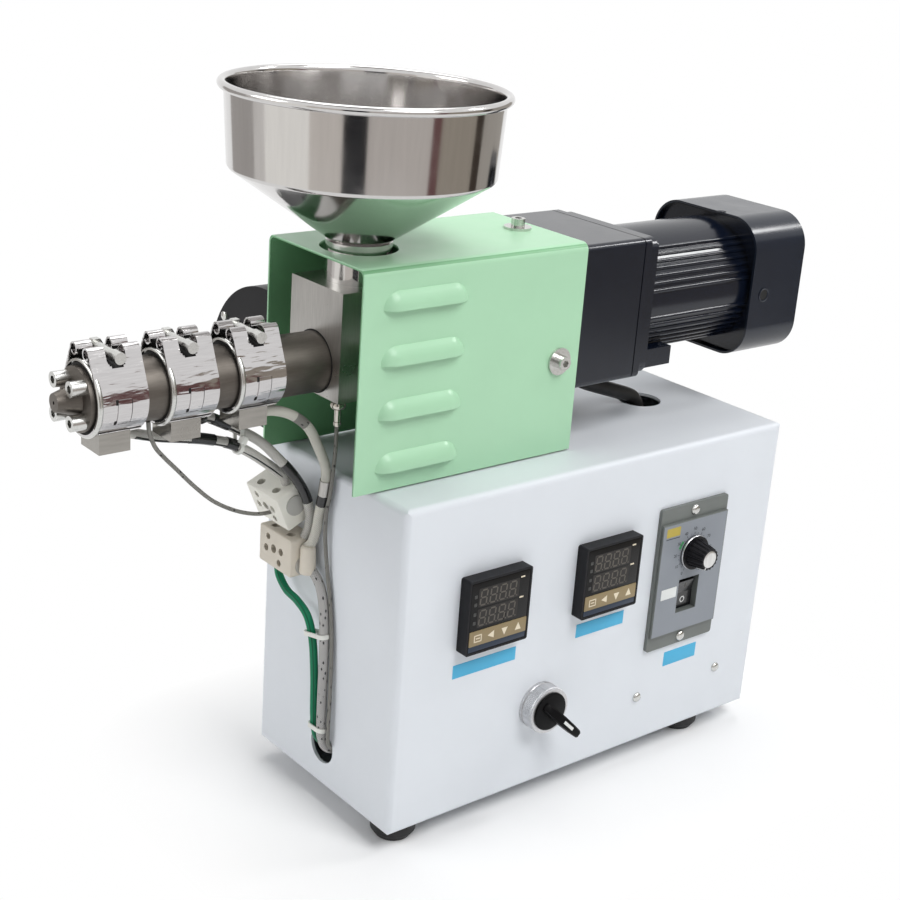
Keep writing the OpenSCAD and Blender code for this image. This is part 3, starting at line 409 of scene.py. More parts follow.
def piece(name, verts, faces, mat, body="machine", smooth=True, uvs=None):
    mesh = bpy.data.meshes.new(name)
    mesh.from_pydata([tuple(v) for v in verts], [], faces)
    mesh.materials.append(mat)
    if uvs is not None:
        layer = mesh.uv_layers.new(name="UVMap")
        for loop in mesh.loops:
            layer.data[loop.index].uv = uvs[loop.vertex_index]
    for polygon in mesh.polygons:
        polygon.use_smooth = smooth
    mesh.update()
    if smooth:
        mesh.set_sharp_from_angle(angle=SHARP)
    obj = add_object(name, mesh)
    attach(obj, body)
    return obj


def smooth_route(points, steps):
    """Points on a Catmull-Rom curve through the route."""
    pts = [Vector(p) for p in points]
    pts = [2 * pts[0] - pts[1]] + pts + [2 * pts[-1] - pts[-2]]
    out = []
    for i in range(1, len(pts) - 2):
        p0, p1, p2, p3 = pts[i - 1:i + 3]
        for k in range(steps):
            t = k / steps
            out.append(0.5 * (
                2 * p1 + (p2 - p0) * t + (2 * p0 - 5 * p1 + 4 * p2 - p3) * t * t
                + (3 * p1 - p0 - 3 * p2 + p3) * t ** 3
            ))
    out.append(pts[-2])
    return out


def rings_along(path):
    """A side and a second side at each point of a path, turned as little as possible."""
    ways = []
    for i in range(len(path)):
        ways.append((path[min(i + 1, len(path) - 1)] - path[max(i - 1, 0)]).normalized())
    side = ways[0].orthogonal().normalized()
    sides = []
    for way in ways:
        side = (side - way * side.dot(way)).normalized()
        sides.append((side.copy(), way.cross(side)))
    return sides


def grid_faces(rows, columns, wrap=True, closed=False):
    """Faces of points in rows: wrap joins the ends of each row, closed the last row to the first."""
    faces = []
    for i in range(rows if closed else rows - 1):
        low, high = i * columns, (i + 1) % rows * columns
        for k in range(columns if wrap else columns - 1):
            after = (k + 1) % columns
            faces.append((low + k, low + after, high + after, high + k))
    return faces


def tube(name, path, radius, mat, sides=14):
    """A tube along a path, and its length: u goes round it and v along it, in metres."""
    verts, uvs = [], []
    run = 0.0
    for i, (point, (a, b)) in enumerate(zip(path, rings_along(path))):
        if i:
            run += (point - path[i - 1]).length
        for k in range(sides + 1):
            turn = 2 * math.pi * k / sides
            verts.append(point + radius * (math.cos(turn) * a + math.sin(turn) * b))
            uvs.append((radius * turn, run))
    faces = grid_faces(len(path), sides + 1, wrap=False)
    last = (len(path) - 1) * (sides + 1)
    faces.append(tuple(range(sides - 1, -1, -1)))
    faces.append(tuple(last + k for k in range(sides)))
    return piece(name, verts, faces, mat, uvs=uvs), run


def lathe(name, profile, origin, mat, axis="z", segments=96, body="machine", closed=False):
    """A profile of (radius, height) in millimetres turned round an axis through origin."""
    frames = {
        "z": (Vector((1, 0, 0)), Vector((0, 1, 0)), Vector((0, 0, 1))),
        "x": (Vector((0, 1, 0)), Vector((0, 0, 1)), Vector((1, 0, 0))),
        "-y": (Vector((1, 0, 0)), Vector((0, 0, 1)), Vector((0, -1, 0))),
    }
    u, v, w = frames[axis]
    verts = []
    for radius, height in profile:
        for k in range(segments):
            turn = 2 * math.pi * k / segments
            verts.append(origin + (
                radius * (math.cos(turn) * u + math.sin(turn) * v) + height * w) / 1000)
    return piece(name, verts, grid_faces(len(profile), segments, closed=closed), mat, body)


def from_bmesh(name, bm, mat, body="machine"):
    bmesh.ops.recalc_face_normals(bm, faces=bm.faces)
    bm.verts.index_update()
    verts = [v.co.copy() for v in bm.verts]
    faces = [tuple(v.index for v in f.verts) for f in bm.faces]
    bm.free()
    return piece(name, verts, faces, mat, body)


def skin(bm, rings):
    """Joins each ring of points to the next, closes both ends and gives the last face."""
    rings = [[bm.verts.new(point) for point in ring] for ring in rings]
    for ring, other in zip(rings, rings[1:]):
        for k in range(len(ring)):
            bm.faces.new((ring[k - 1], ring[k], other[k], other[k - 1]))
    bm.faces.new(rings[0])
    return bm.faces.new(rings[-1])


def prism(bm, outline, depth, place):
    """Adds a flat outline of (u, v), thick by depth, and gives its top face."""
    return skin(bm, [[place(u, v, w) for u, v in outline] for w in (0, depth)])


def outline_solid(name, outline, depth, place, mat, bevel=0.0, body="machine"):
    """A flat outline of (u, v) in millimetres, thick by depth, each point set by place(u, v, w)."""
    bm = bmesh.new()
    top = prism(bm, outline, depth, lambda u, v, w: (u, v, w))
    if bevel:
        bmesh.ops.bevel(bm, geom=list(top.edges), offset=bevel, segments=2, affect="EDGES", profile=0.5)
    for vert in bm.verts:
        vert.co = place(*vert.co)
    return from_bmesh(name, bm, mat, body)


def join(name, parts, mat, body="machine"):
    """One piece from several flat outlines: parts holds (outline, depth, place)."""
    bm = bmesh.new()
    for outline, depth, place in parts:
        prism(bm, outline, depth, place)
    return from_bmesh(name, bm, mat, body)


def panel(y):
    """Places a flat outline on a face that looks out of the front, y millimetres deep."""
    return lambda u, v, w: at(u, y - w, v)


def shares(count, first=0):
    """Even shares of a whole, up to 1."""
    return [k / count for k in range(first, count + 1)]


def between(start, end, at_shares):
    """Points on the straight line from start to end."""
    return [(start[0] + (end[0] - start[0]) * t, start[1] + (end[1] - start[1]) * t) for t in at_shares]


def polar(cx, cz, radius, turn):
    """A point on a circle, by its angle in radians."""
    return cx + radius * math.cos(turn), cz + radius * math.sin(turn)


def rectangle(x0, z0, x1, z1):
    return [(x0, z0), (x1, z0), (x1, z1), (x0, z1)]


def rounded(x0, z0, x1, z1, radius):
    """A rectangle with rounded corners, as an outline."""
    points = []
    for cx, cz, start in ((x1 - radius, z1 - radius, 0), (x0 + radius, z1 - radius, 90),
                          (x0 + radius, z0 + radius, 180), (x1 - radius, z0 + radius, 270)):
        for share in shares(4):
            points.append(polar(cx, cz, radius, math.radians(start + 90 * share)))
    return points


def disc(cx, cz, radius, count=28):
    return [polar(cx, cz, radius, 2 * math.pi * k / count) for k in range(count)]


def stroke(x0, z0, x1, z1, width):
    """A straight line with a width, as an outline."""
    way = Vector((x1 - x0, z1 - z0)).normalized()
    side = Vector((-way.y, way.x)) * width / 2
    return [(x0 + side.x, z0 + side.y), (x0 - side.x, z0 - side.y),
            (x1 - side.x, z1 - side.y), (x1 + side.x, z1 + side.y)]


def settle(obj):
    """Makes what a piece's modifiers show its own mesh."""
    graph = bpy.context.evaluated_depsgraph_get()
    mesh = bpy.data.meshes.new_from_object(obj.evaluated_get(graph))
    obj.modifiers.clear()
    obj.data = mesh
    mesh.set_sharp_from_angle(angle=SHARP)


def carve(obj, bm):
    """Takes a shape out of a piece."""
    mesh = bpy.data.meshes.new("cutter")
    bm.to_mesh(mesh)
    bm.free()
    cutter = add_object("cutter", mesh)
    change = obj.modifiers.new("carve", "BOOLEAN")
    change.object = cutter
    change.solver = "EXACT"
    settle(obj)
    bpy.data.objects.remove(cutter)


def cross_screw(name, x, y, z, radius, height):
    """A pan head screw with a cross recess, on a face that looks out of the front."""
    profile = [(TIP, height), (radius * 0.45, height * 0.96), (radius * 0.75, height * 0.78),
               (radius * 0.93, height * 0.45), (radius, height * 0.1), (radius, -0.2), (TIP, -0.2)]
    head = lathe(name, profile, at(x, y, z), M["zinc"], "-y", 40)
    size = Matrix.Diagonal((radius * 1.25 / 1000, height * 1.1 / 1000, radius * 0.26 / 1000, 1))
    bm = bmesh.new()
    for turn in (0.5, 0.5 + math.pi / 2):
        arm = bmesh.ops.create_cube(bm, size=1)
        place = Matrix.Translation(at(x, y - height, z)) @ Matrix.Rotation(turn, 4, "Y") @ size
        bmesh.ops.transform(bm, matrix=place, verts=arm["verts"])
    carve(head, bm)


def washer(name, profile, origin, mat, axis, body="machine", segments=64):
    """A closed ring turned from its cross section."""
    return lathe(name, profile, origin, mat, axis, segments, body, True)


# Hopper
def hopper_profile():
    """(radius, height) up the outside, round the rolled rim and down the inside."""
    foot_z, roll_r, roll_z, roll = 345.2, 78.5, 428.7, 2.5
    cone_foot, cone_top = (18.2, 345.9), (74.2, 383.9)
    wall_foot, wall_top = (75.1, 385.8), (77.4, 425.9)
    inner_top, inner_foot = (75.9, 427.5), (73.5, 388.0)
    inner_cone_top, inner_cone_foot = (71.5, 383.4), (16.0, 346.2)
    outer = [(17.25, foot_z), cone_foot]
    outer += between(cone_foot, cone_top, (0.02, 0.2, 0.4, 0.6, 0.8, 0.94, 0.985))
    outer += [(cone_top[0] + (wall_foot[0] - cone_top[0]) * math.sin(t * math.pi / 2),
               cone_top[1] + (wall_foot[1] - cone_top[1]) * t) for t in shares(6)]
    outer += between(wall_foot, wall_top, (0.01, 0.04, 0.2, 0.4, 0.6, 0.8, 0.97, 1.0))
    rim = [polar(roll_r, roll_z, roll, math.radians(-115 + 285 * t)) for t in shares(17)]
    inner = between(inner_top, inner_foot, shares(7))
    inner += [(inner_foot[0] + (inner_cone_top[0] - inner_foot[0]) * (1 - math.cos(t * math.pi / 2)),
               inner_foot[1] + (inner_cone_top[1] - inner_foot[1]) * t) for t in shares(6, 1)]
    inner += between(inner_cone_top, inner_cone_foot, shares(8, 1))
    return outer + rim + inner + [(15.9, foot_z)]


hopper_piece = lathe("hopper_shell", hopper_profile(), at(HOPPER_X, AXIS_Y, 0), M["polished"], "z", 160,
                     closed=True)
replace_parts(hopper_piece, "hopper")


# Heater bands
def band_path():
    """The sheet's middle line from curl to curl: (towards the near side, up) from the axis."""
    curl, curl_r, sheet_r = Vector((6.5, 25.0)), 3.4, 19.4
    leave = math.atan2(curl.y, curl.x) - math.acos((sheet_r - curl_r) / curl.length)
    half = []
    for k in range(25):
        left_over = 1 - k / 24
        turn = leave + math.radians(310) * left_over
        half.append(curl + (curl_r - 0.9 * left_over) * Vector((math.cos(turn), math.sin(turn))))
    foot = sheet_r * Vector((math.cos(leave), math.sin(leave)))
    half += [half[-1].lerp(foot, k / 16) for k in range(1, 17)]
    for k in range(1, 25):
        turn = leave + (-math.pi / 2 - leave) * k / 24
        half.append(sheet_r * Vector((math.cos(turn), math.sin(turn))))
    return half + [Vector((-p.x, p.y)) for p in reversed(half[:-1])]


def window_foot(side):
    """Where a band's window ends below, by the distance from its middle: it has rounded corners."""
    return 17.6 + (side > 3.4) * 0.9 + (side > 4.5) * 1.1 + (side > 5.2) * 1.2


def band_sheet(band, cx):
    """The bright sheet of a band: curled lugs with a window for the clamp bolt."""
    path = band_path()
    half_columns = (3.3, 4.4, 5.1, 5.5, 10, BAND_HALF)
    window_half = 6
    columns = [-x for x in reversed(half_columns)] + list(half_columns)
    bm = bmesh.new()
    grid = [[bm.verts.new(at(cx + x, AXIS_Y - p.x, AXIS_Z + p.y)) for x in columns] for p in path]
    for p, q, a, b in zip(path, path[1:], grid, grid[1:]):
        for i, (x0, x1) in enumerate(zip(columns, columns[1:])):
            side = max(abs(x0), abs(x1))
            if side > window_half or min(p.y, q.y) <= window_foot(side):
                bm.faces.new((a[i], a[i + 1], b[i + 1], b[i]))
    sheet = from_bmesh(f"band_sheet_{band}", bm, M["bright"])
    thick = sheet.modifiers.new("thick", "SOLIDIFY")
    thick.thickness = 0.001
    thick.offset = 0
    settle(sheet)
    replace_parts(sheet, f"heater_band_{band}")
    # Painted shade: a near-black ring under the sheet, so the clamp window shows dark.
    washer(f"band_window_shade_{band}", [(17.55, -13.9), (18.9, -13.9), (18.9, 14.1), (17.55, 14.1)],
           at(cx, AXIS_Y, AXIS_Z), M["hollow"], "x", segments=72)


def band_patch(name, x0, x1, a0, a1, rise, mat, steps):
    """A patch on a heater band; angles go from the near side (0) up (90)."""
    inner, outer = BAND_R - 0.3, BAND_R + rise
    rings = []
    for share in shares(steps):
        turn = math.radians(a0 + (a1 - a0) * share)
        rings.append([at(x, AXIS_Y - r * math.cos(turn), AXIS_Z + r * math.sin(turn))
                      for x, r in ((x0, inner), (x0, outer), (x1, outer), (x1, inner))])
    bm = bmesh.new()
    skin(bm, rings)
    from_bmesh(name, bm, mat)


# Patches on a band: name, along the barrel from its middle, angles, rise, look, steps. The slots and the
# seam are thin near-black patches: painted shade in place of openings and gaps.
BAND_PATCHES = (
    ("tab", -3.2, 4.4, -30, 9, 0.45, "bright", 14),
    ("slot_shade_a", -4.3, -3.0, 2, 10, 0.08, "hollow", 5),
    ("slot_shade_b", -4.3, -3.0, -32, -25, 0.08, "hollow", 5),
    ("slot_shade_c", 4.3, 5.0, -31, 8, 0.06, "hollow", 8),
    ("slot_shade_d", -2.0, 3.2, -32.5, -30.5, 0.08, "hollow", 3),
    ("flap", -11.3, 14.3, -100, -54, 0.5, "bright", 14),
    ("seam_shade", -11.3, 14.2, -53.4, -51.8, 0.05, "hollow", 3),
)
BEAD = 1.5
bead_profile = [(BAND_R + BEAD * math.sin(t * math.pi) - 0.3, BEAD - BEAD * math.cos(t * math.pi))
                for t in shares(12)]
nut_profile = [(3.2, -0.2), (3.2, 0.4), (2.7, 0.9), (1.3, 0.9), (1.3, 0.1), (2.0, -0.2)]
for band, cx in BAND_X.items():
    band_sheet(band, cx)
    for part, x0, x1, a0, a1, rise, look, steps in BAND_PATCHES:
        band_patch(f"band_{part}_{band}", cx + x0, cx + x1, a0, a1, rise, M[look], steps)
    lathe(f"band_bead_{band}", bead_profile, at(cx - BAND_HALF, AXIS_Y, AXIS_Z), M["zinc"], "x", 72)
    washer(f"clamp_nut_{band}", nut_profile, at(cx, AXIS_Y - 13, AXIS_Z + BAND_R + 4), M["zinc"], "-y",
           segments=36)

# Painted shadow: a near-black ring where the barrel enters the feed block.
washer("barrel_seat_shade", [(17.4, -0.05), (18.4, -0.05), (18.4, 0.3), (17.4, 0.3)],
       at(-13, AXIS_Y, AXIS_Z), M["hollow"], "x", segments=72)

# Probe under the feed block: a short neck, a rounded nut, the stem and its crimped end
PROBE_X, PROBE_Y = middle_of("throat_probe")[:2]
PROBE_FOOT_Z = 241.1
probe_profile = [
    (TIP, 18.0), (2.4, 18.0), (2.4, 15.6), (3.2, 15.5), (4.2, 14.8), (4.6, 13.6), (4.4, 12.2),
    (3.6, 11.2), (2.5, 10.8), (2.0, 10.4), (1.9, 3.4), (2.3, 3.1), (2.3, 1.5), (1.7, 0.4), (TIP, 0.2)]
probe = lathe("probe_fitting", probe_profile, at(PROBE_X, PROBE_Y, PROBE_FOOT_Z), M["probe"], "z", 40)
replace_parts(probe, "throat_probe")

# Connectors: ceramic blocks; the upper one hangs on its leads and leans out
BLOCK_DEEP, BLOCK_WIDE, BLOCK_HIGH = 17, 34, 24
HOLE_DEPTH, WIRE_HOLE_R = 4.5, 2.7
PORTS = ((-7.5, 6.6, 2.1), (-9.4, -1.4, 2.3), (-1.4, 0.4, 2.8), (6.4, 1.0, 2.4), (4.6, -6.8, 2.2))
WIRE_HOLES = ((2.4, -8.2), (2.4, 8.2))


def connector(level, middle, lean, look, disc_up):
    """A block whose points are (out from the cabinet, towards the near side, up) from its middle."""
    turn = Matrix.Rotation(math.radians(-lean), 3, "Y")
    deep, wide, high = BLOCK_DEEP / 2, BLOCK_WIDE / 2, BLOCK_HIGH / 2

    def spot(out, near, up):
        return at(*middle) + turn @ Vector((-out, -near, up)) / 1000

    body = outline_solid(f"{level}_connector_body", rounded(-wide, -high, wide, high, 1.4), BLOCK_DEEP,
                         lambda u, v, w: spot(w - deep, u, v), M[look], 1.1)
    holes = [(spot(deep, near, up), radius, (-1, 0, 0)) for near, up, radius in PORTS]
    holes += [(spot(out, near, high), WIRE_HOLE_R, (0, 0, 1)) for out, near in WIRE_HOLES]
    bm = bmesh.new()
    for place, radius, way in holes:
        aim = (turn @ Vector(way)).to_track_quat("Z", "Y").to_matrix().to_4x4()
        bmesh.ops.create_cone(bm, cap_ends=True, segments=28, radius1=radius / 1000, radius2=radius / 1000,
                              depth=2 * HOLE_DEPTH / 1000, matrix=Matrix.Translation(place) @ aim)
    carve(body, bm)
    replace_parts(body, f"{level}_connector")
    # Painted shade: near-black discs at the bottom of the holes.
    shade_discs = [(disc(near, up, radius - 0.02), 0.2, lambda u, v, w: spot(deep - HOLE_DEPTH + w, u, v))
              for near, up, radius in PORTS]
    shade_discs += [(disc(out, near, WIRE_HOLE_R - 0.02), 0.2, lambda u, v, w: spot(u, v, high - HOLE_DEPTH + w))
               for out, near in WIRE_HOLES]
    join(f"{level}_connector_hole_shade", shade_discs, M["hollow"])
    outline_solid(f"{level}_connector_disc", disc(-1.5, disc_up, 6.3, 48), 0.9,
                  lambda u, v, w: spot(u, wide - 0.1 + w, v), M["stone"], 0.3)


connector("upper", (-13.0, 108, 182), 24, "ceramic", 1.5)
connector("lower", middle_of("lower_connector"), 0, "warm_ceramic", -5.2)

# Controllers: ends of a digit's strokes, as shares of its width and height
SEGMENTS = (((0, 1), (1, 1)), ((0, 0.5), (1, 0.5)), ((0, 0), (1, 0)), ((0, 0), (0, 0.5)),
            ((0, 0.5), (0, 1)), ((1, 0), (1, 0.5)), ((1, 0.5), (1, 1)))
DIGIT_WIDE, DIGIT_HIGH, DIGIT_LEAN, DIGIT_STEP, STROKE_GAP = 4.6, 9.4, 0.9, 7.4, 0.55
CONTROLLER_Y, GLASS = -8.0, 0.35
KEY_Z = -13.6
KEY_ARROW = ((-2.4, -2.0), (2.4, -2.0), (0, 2.8))
KEY_STROKES = (
    (-18.4, -15.6, -12.6, -15.6), (-18.4, -11.6, -12.6, -11.6), (-18.1, -15.6, -18.1, -11.6),
    (-12.9, -15.6, -12.9, -11.6), (-17.0, KEY_Z, -14.0, KEY_Z))


def digit(x, z, place):
    """The strokes and the point of an unlit digit."""
    parts = [(disc(x + 6.1, z, 0.5, 10), 0.06, place)]
    for ends in SEGMENTS:
        start, end = (Vector((x + across * DIGIT_WIDE + up * DIGIT_LEAN, z + up * DIGIT_HIGH))
                      for across, up in ends)
        gap = (end - start).normalized() * STROKE_GAP
        parts.append((stroke(*(start + gap), *(end - gap), 0.95), 0.06, place))
    return parts


def controller_face(label):
    """Window, digits, lamps and keys, drawn from the middle of the controller's face."""
    cx, _, cz = middle_of(f"{label}_controller")

    def face(out):
        return lambda u, v, w: at(cx + u, CONTROLLER_Y - out - w, cz + v)

    glass, keys = face(GLASS), face(0.8)
    outline_solid(f"{label}_window", rounded(-22.2, -22.2, 22.2, 22.2, 0.8), GLASS, face(0),
                  M["window"], 0.12)
    join(f"{label}_displays", [(rounded(-16.8, z, 14.4, z + 12.0, 0.5), 0.04, glass) for z in (6.4, -6.8)],
         M["display"])
    digits = []
    for row_z in (7.6, -5.6):
        for number in range(4):
            digits += digit(-15.6 + DIGIT_STEP * number, row_z, glass)
    join(f"{label}_digits", digits, M["segment"])
    join(f"{label}_lamps", [(rounded(-20.0, z, -17.8, z + 2.2, 0.4), 0.08, glass)
                            for z in (12.6, 7.4, 1.2, -4.4)], M["lamp"])
    join(f"{label}_signs", [(stroke(15.2, z, 18.2, z, 1.0), 0.06, glass) for z in (18.6, 5.4)], M["arrow"])
    outline_solid(f"{label}_keys", rounded(-22, -18.2, 22, -8.6, 0.4), 0.5, face(0.3), M["keys"], 0.12)
    signs = [(stroke(*ends, 0.7), 0.05, keys) for ends in KEY_STROKES]
    for key_x, turn in ((-5.2, 90), (5.0, 180), (15.6, 0)):
        c, s = math.cos(math.radians(turn)), math.sin(math.radians(turn))
        arrow = [(key_x + u * c - v * s, KEY_Z + u * s + v * c) for u, v in KEY_ARROW]
        signs.append((arrow, 0.05, keys))
    join(f"{label}_key_signs", signs, M["arrow"])
    outline_solid(f"{label}_strip", rounded(-22, -22, 22, -18.3, 0.4), 0.12, face(0.3), M["blue"], 0.04)


controller_face("barrel")
controller_face("feed")

# Labels and screws on the panel
for number, corners in enumerate(((41.6, 94.5, 90.8, 103.5), (141.0, 95.5, 182.5, 104.8),
                                  (226.4, 51.8, 257.3, 62.2))):
    outline_solid(f"panel_label_{number}", rounded(*corners, 0.3), 0.18, panel(0.02), M["label"], 0.05)
cross_screw("panel_screw_left", 204.3, 0, 35.2, 3.4, 2.2)
cross_screw("panel_screw_right", 280.3, 0, 36.7, 3.4, 2.2)

# Speed controller
FACE_Y = -4.5
FACE_X0, FACE_X1, FACE_Z0, FACE_Z1 = 207.0, 266.0, 79.5, 158.4
CUT_X0, CUT_X1, CUT_Z0, CUT_Z1 = 227.0, 246.0, 93.0, 117.0
join("speed_face", [(rectangle(*corners), 0.1, panel(FACE_Y + 0.02)) for corners in (
    (FACE_X0, FACE_Z0, CUT_X0, FACE_Z1), (CUT_X1, FACE_Z0, FACE_X1, FACE_Z1),
    (CUT_X0, FACE_Z0, CUT_X1, CUT_Z0), (CUT_X0, CUT_Z1, CUT_X1, FACE_Z1))], M["face"])
print_on = panel(FACE_Y - 0.08)
outline_solid("plate_yellow", rounded(209.8, 150.2, 222.2, 156.4, 0.3), 0.06, print_on, M["yellow"])
outline_solid("plate_sticker", rounded(211.2, 105.6, 225.4, 113.0, 0.3), 0.1, print_on, M["sticker"], 0.03)
cross_screw("plate_screw_top", 236.0, -2.5, 164.6, 3.6, 2.4)
cross_screw("plate_screw_foot", 236.6, -2.5, 73.6, 3.6, 2.4)
KNOB_X, _, KNOB_Z = middle_of("speed_knob")
DIAL_START, DIAL_SPAN, DIAL_TICKS, DIAL_STEPS = 240, 300, 20, 10


def dial_spot(radius, share):
    """A point on the dial round the knob, by the share of the knob's turn."""
    return polar(KNOB_X, KNOB_Z, radius, math.radians(DIAL_START - DIAL_SPAN * share))


ticks = [(stroke(209.8, 148.9, 222.4, 148.9, 0.6), 0.04, print_on)]
for k, share in enumerate(shares(DIAL_TICKS)):
    tick_end = dial_spot(13.2 if k % 2 else 13.9, share)
    ticks.append((stroke(*dial_spot(12.4, share), *tick_end, 0.35), 0.04, print_on))
join("dial_ticks", ticks, M["ink"])
arc = [polar(KNOB_X, KNOB_Z, r, math.radians(t))
       for r, way in ((14.6, range(138, 163, 4)), (12.4, range(162, 137, -4))) for t in way]
outline_solid("dial_green_arc", arc, 0.03, print_on, M["mark_green"])


def dial_figure(number):
    """A number on the dial, turned into a mesh on the panel."""
    name = f"dial_figure_{number}"
    x, z = dial_spot(16.2, number / DIAL_STEPS)
    curve = bpy.data.curves.new(name, "FONT")
    curve.body = str(10 * number)
    curve.size = 0.0031
    curve.extrude = 0.00002
    curve.align_x = "CENTER"
    curve.align_y = "CENTER"
    holder = add_object(name + "_curve", curve)
    graph = bpy.context.evaluated_depsgraph_get()
    flat = bpy.data.meshes.new_from_object(holder.evaluated_get(graph))
    verts = [at(x, FACE_Y - 0.12, z) + Vector((v.co.x, -v.co.z, v.co.y)) for v in flat.vertices]
    faces = [tuple(p.vertices) for p in flat.polygons]
    bpy.data.objects.remove(holder)
    piece(name, verts, faces, M["ink"], smooth=False)


for number in range(DIAL_STEPS + 1):
    dial_figure(number)

# Knob: bright skirt rim, cap and pointer
KNOB_Y, KNOB_TALL = FACE_Y - 0.4, 15
washer("knob_rim", [(11.0, 0.6), (11.6, 0.6), (11.75, 0.9), (11.75, 1.7), (11.5, 2.0), (11.0, 2.0)],
       at(KNOB_X, KNOB_Y, KNOB_Z), M["aluminium"], "-y", "knob")
lathe("knob_cap", [(TIP, 15.35), (4.6, 15.3), (5.6, 15.15), (5.9, 14.9), (5.9, 14.4), (TIP, 14.4)],
      at(KNOB_X, KNOB_Y, KNOB_Z), M["cap"], "-y", 56, "knob")


def on_knob(along, across, out):
    """A point on the knob: along its pointer from the axis, across it, and out from the panel."""
    c, s = math.cos(math.radians(DIAL_START)), math.sin(math.radians(DIAL_START))
    return at(KNOB_X + along * c - across * s, KNOB_Y - out, KNOB_Z + along * s + across * c)


outline_solid("knob_pointer", rectangle(0.0, -0.5, 6.5, 0.5), 0.22,
              lambda u, v, w: on_knob(7.35 + 2.0 * u / 12 + w, v, KNOB_TALL - u), M["white_mark"], 0, "knob")
outline_solid("knob_pointer_top", stroke(5.9, 0, 7.3, 0, 0.9), 0.1,
              lambda u, v, w: on_knob(u, v, KNOB_TALL + w), M["white_mark"], 0, "knob")

# Rocker signs
ROCKER_X, _, ROCKER_Z = middle_of("rocker_frame")
ROCKER_Y = 1.1
TILT = math.radians(8)


def rocker_place(u, v, w):
    """A point on the tilted rocker, which is lower in its middle."""
    out = -1.8 - 1.2 * abs(v) / 9.55 - 0.02 - w
    return at(ROCKER_X + u, ROCKER_Y + out * math.cos(TILT) - v * math.sin(TILT),
              ROCKER_Z + out * math.sin(TILT) + v * math.cos(TILT))


ring_parts = []
for k in range(24):
    a, b = 2 * math.pi * k / 24, 2 * math.pi * (k + 1) / 24
    sector = [polar(0, -5.2, r, t) for r, t in ((1.5, a), (2.2, a), (2.2, b), (1.5, b))]
    ring_parts.append((sector, 0.06, rocker_place))
join("rocker_off_sign", ring_parts, M["white_mark"], "rocker")
outline_solid("rocker_on_sign", stroke(0, 3.6, 0, 7.4, 0.7), 0.06, rocker_place, M["segment"], 0, "rocker")

# Selector: cap and knurled ring
SEL_X, _, SEL_Z = middle_of("selector_ring")
cap_profile = [
    (TIP, 12.6), (11.6, 12.6), (12.4, 12.3), (12.6, 11.9), (12.6, 11.3), (12.2, 11.15), (TIP, 11.15)]
lathe("selector_cap", cap_profile, at(SEL_X, 0, SEL_Z), M["lever_black"], "-y", 72, "lever")
KNURL_POINTS = 192
knurl_rows = [(15.0, 2.6), (15.35, 2.9), (15.35, 9.6), (15.0, 10.0)]
knurl_verts = []
for radius, height in knurl_rows:
    for k in range(KNURL_POINTS):
        groove = 0 if k % 2 else 0.3
        x, z = polar(SEL_X, SEL_Z, radius - groove, 2 * math.pi * k / KNURL_POINTS)
        knurl_verts.append(at(x, -height, z))
knurl_faces = grid_faces(len(knurl_rows), KNURL_POINTS)
piece("selector_knurl", knurl_verts, knurl_faces, M["aluminium"], smooth=False)

# Selector lever: along it, its width, underside and top, the last two out from the panel
LEVER_STEPS = (
    (-8.6, 3.0, 12.0, 13.4), (-7.6, 5.2, 12.0, 14.6), (-2.0, 6.4, 12.0, 17.4), (6.0, 6.4, 12.0, 20.6),
    (15.5, 5.8, 13.0, 22.6), (21.0, 5.4, 15.0, 23.0), (23.3, 4.8, 16.0, 22.6), (24.0, 3.0, 17.0, 21.8))


def on_lever(along, across, out):
    """A point on the lever, which points down to the right at rest."""
    half = math.sqrt(0.5)
    return at(SEL_X + (along + across) * half, -out, SEL_Z + (across - along) * half)


def lever_top(along):
    """How far the lever's top stands out from the panel."""
    for (start, _, _, low), (end, _, _, high) in zip(LEVER_STEPS, LEVER_STEPS[1:]):
        if along <= end:
            return low + (high - low) * (along - start) / (end - start)
    return LEVER_STEPS[-1][3]


LEVER_EDGE = 0.9
lever_rings = []
for along, width, low, top in LEVER_STEPS:
    half = width / 2
    section = ((-half, low), (half, low), (half, top - LEVER_EDGE), (half - LEVER_EDGE, top),
               (LEVER_EDGE - half, top), (-half, top - LEVER_EDGE))
    lever_rings.append([on_lever(along, across, out) for across, out in section])
bm = bmesh.new()
skin(bm, lever_rings)
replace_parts(from_bmesh("selector_handle", bm, M["lever_black"], "lever"), "selector_lever")
outline_solid("selector_mark", stroke(6.4, 0, 15.0, 0, 2.0), 0.08,
              lambda u, v, w: on_lever(u, v, lever_top(u) + w), M["white_mark"], 0, "lever")

# Motor: rounded ribs along its housing, end bell inside the fan cover, flange screws
RIBS, RIB_FIRST, RIB_STEP = 7, 12.5, 6.5
RIB_R, RIB_TALL, RIB_HALF_WIDE = 41.0, 1.8, 1.5
FLANGE_X, FLANGE_SCREW, BELL_X, BELL_HALF = 212, 37, 306, 44.2
bm = bmesh.new()
for side, way, number in itertools.product((1, -1), (1, -1), range(RIBS)):
    turn = math.radians(way * (RIB_FIRST + RIB_STEP * number))
    out = Vector((0, -side * math.cos(turn), math.sin(turn)))
    across = Vector((0, side * math.sin(turn), math.cos(turn)))
    section = []
    for share in shares(9):
        rise, aside = math.sin(share * math.pi), math.cos(share * math.pi)
        section.append(out * (RIB_R + RIB_TALL * rise) + across * RIB_HALF_WIDE * aside)
    skin(bm, [[at(x, AXIS_Y, GEAR_Z) + spot / 1000 for spot in section] for x in (FLANGE_X, BELL_X)])
from_bmesh("motor_ribs", bm, M["motor"])
outline_solid("motor_end_bell", rounded(-BELL_HALF, -BELL_HALF, BELL_HALF, BELL_HALF, 13), 5,
              lambda u, v, w: at(BELL_X + w, AXIS_Y + u, GEAR_Z + v), M["motor"], 0.6)
socket_profile = [(TIP, 1.6), (2.0, 1.6), (2.0, 4.0), (3.5, 4.0), (4.0, 3.5), (4.0, -0.2), (TIP, -0.2)]
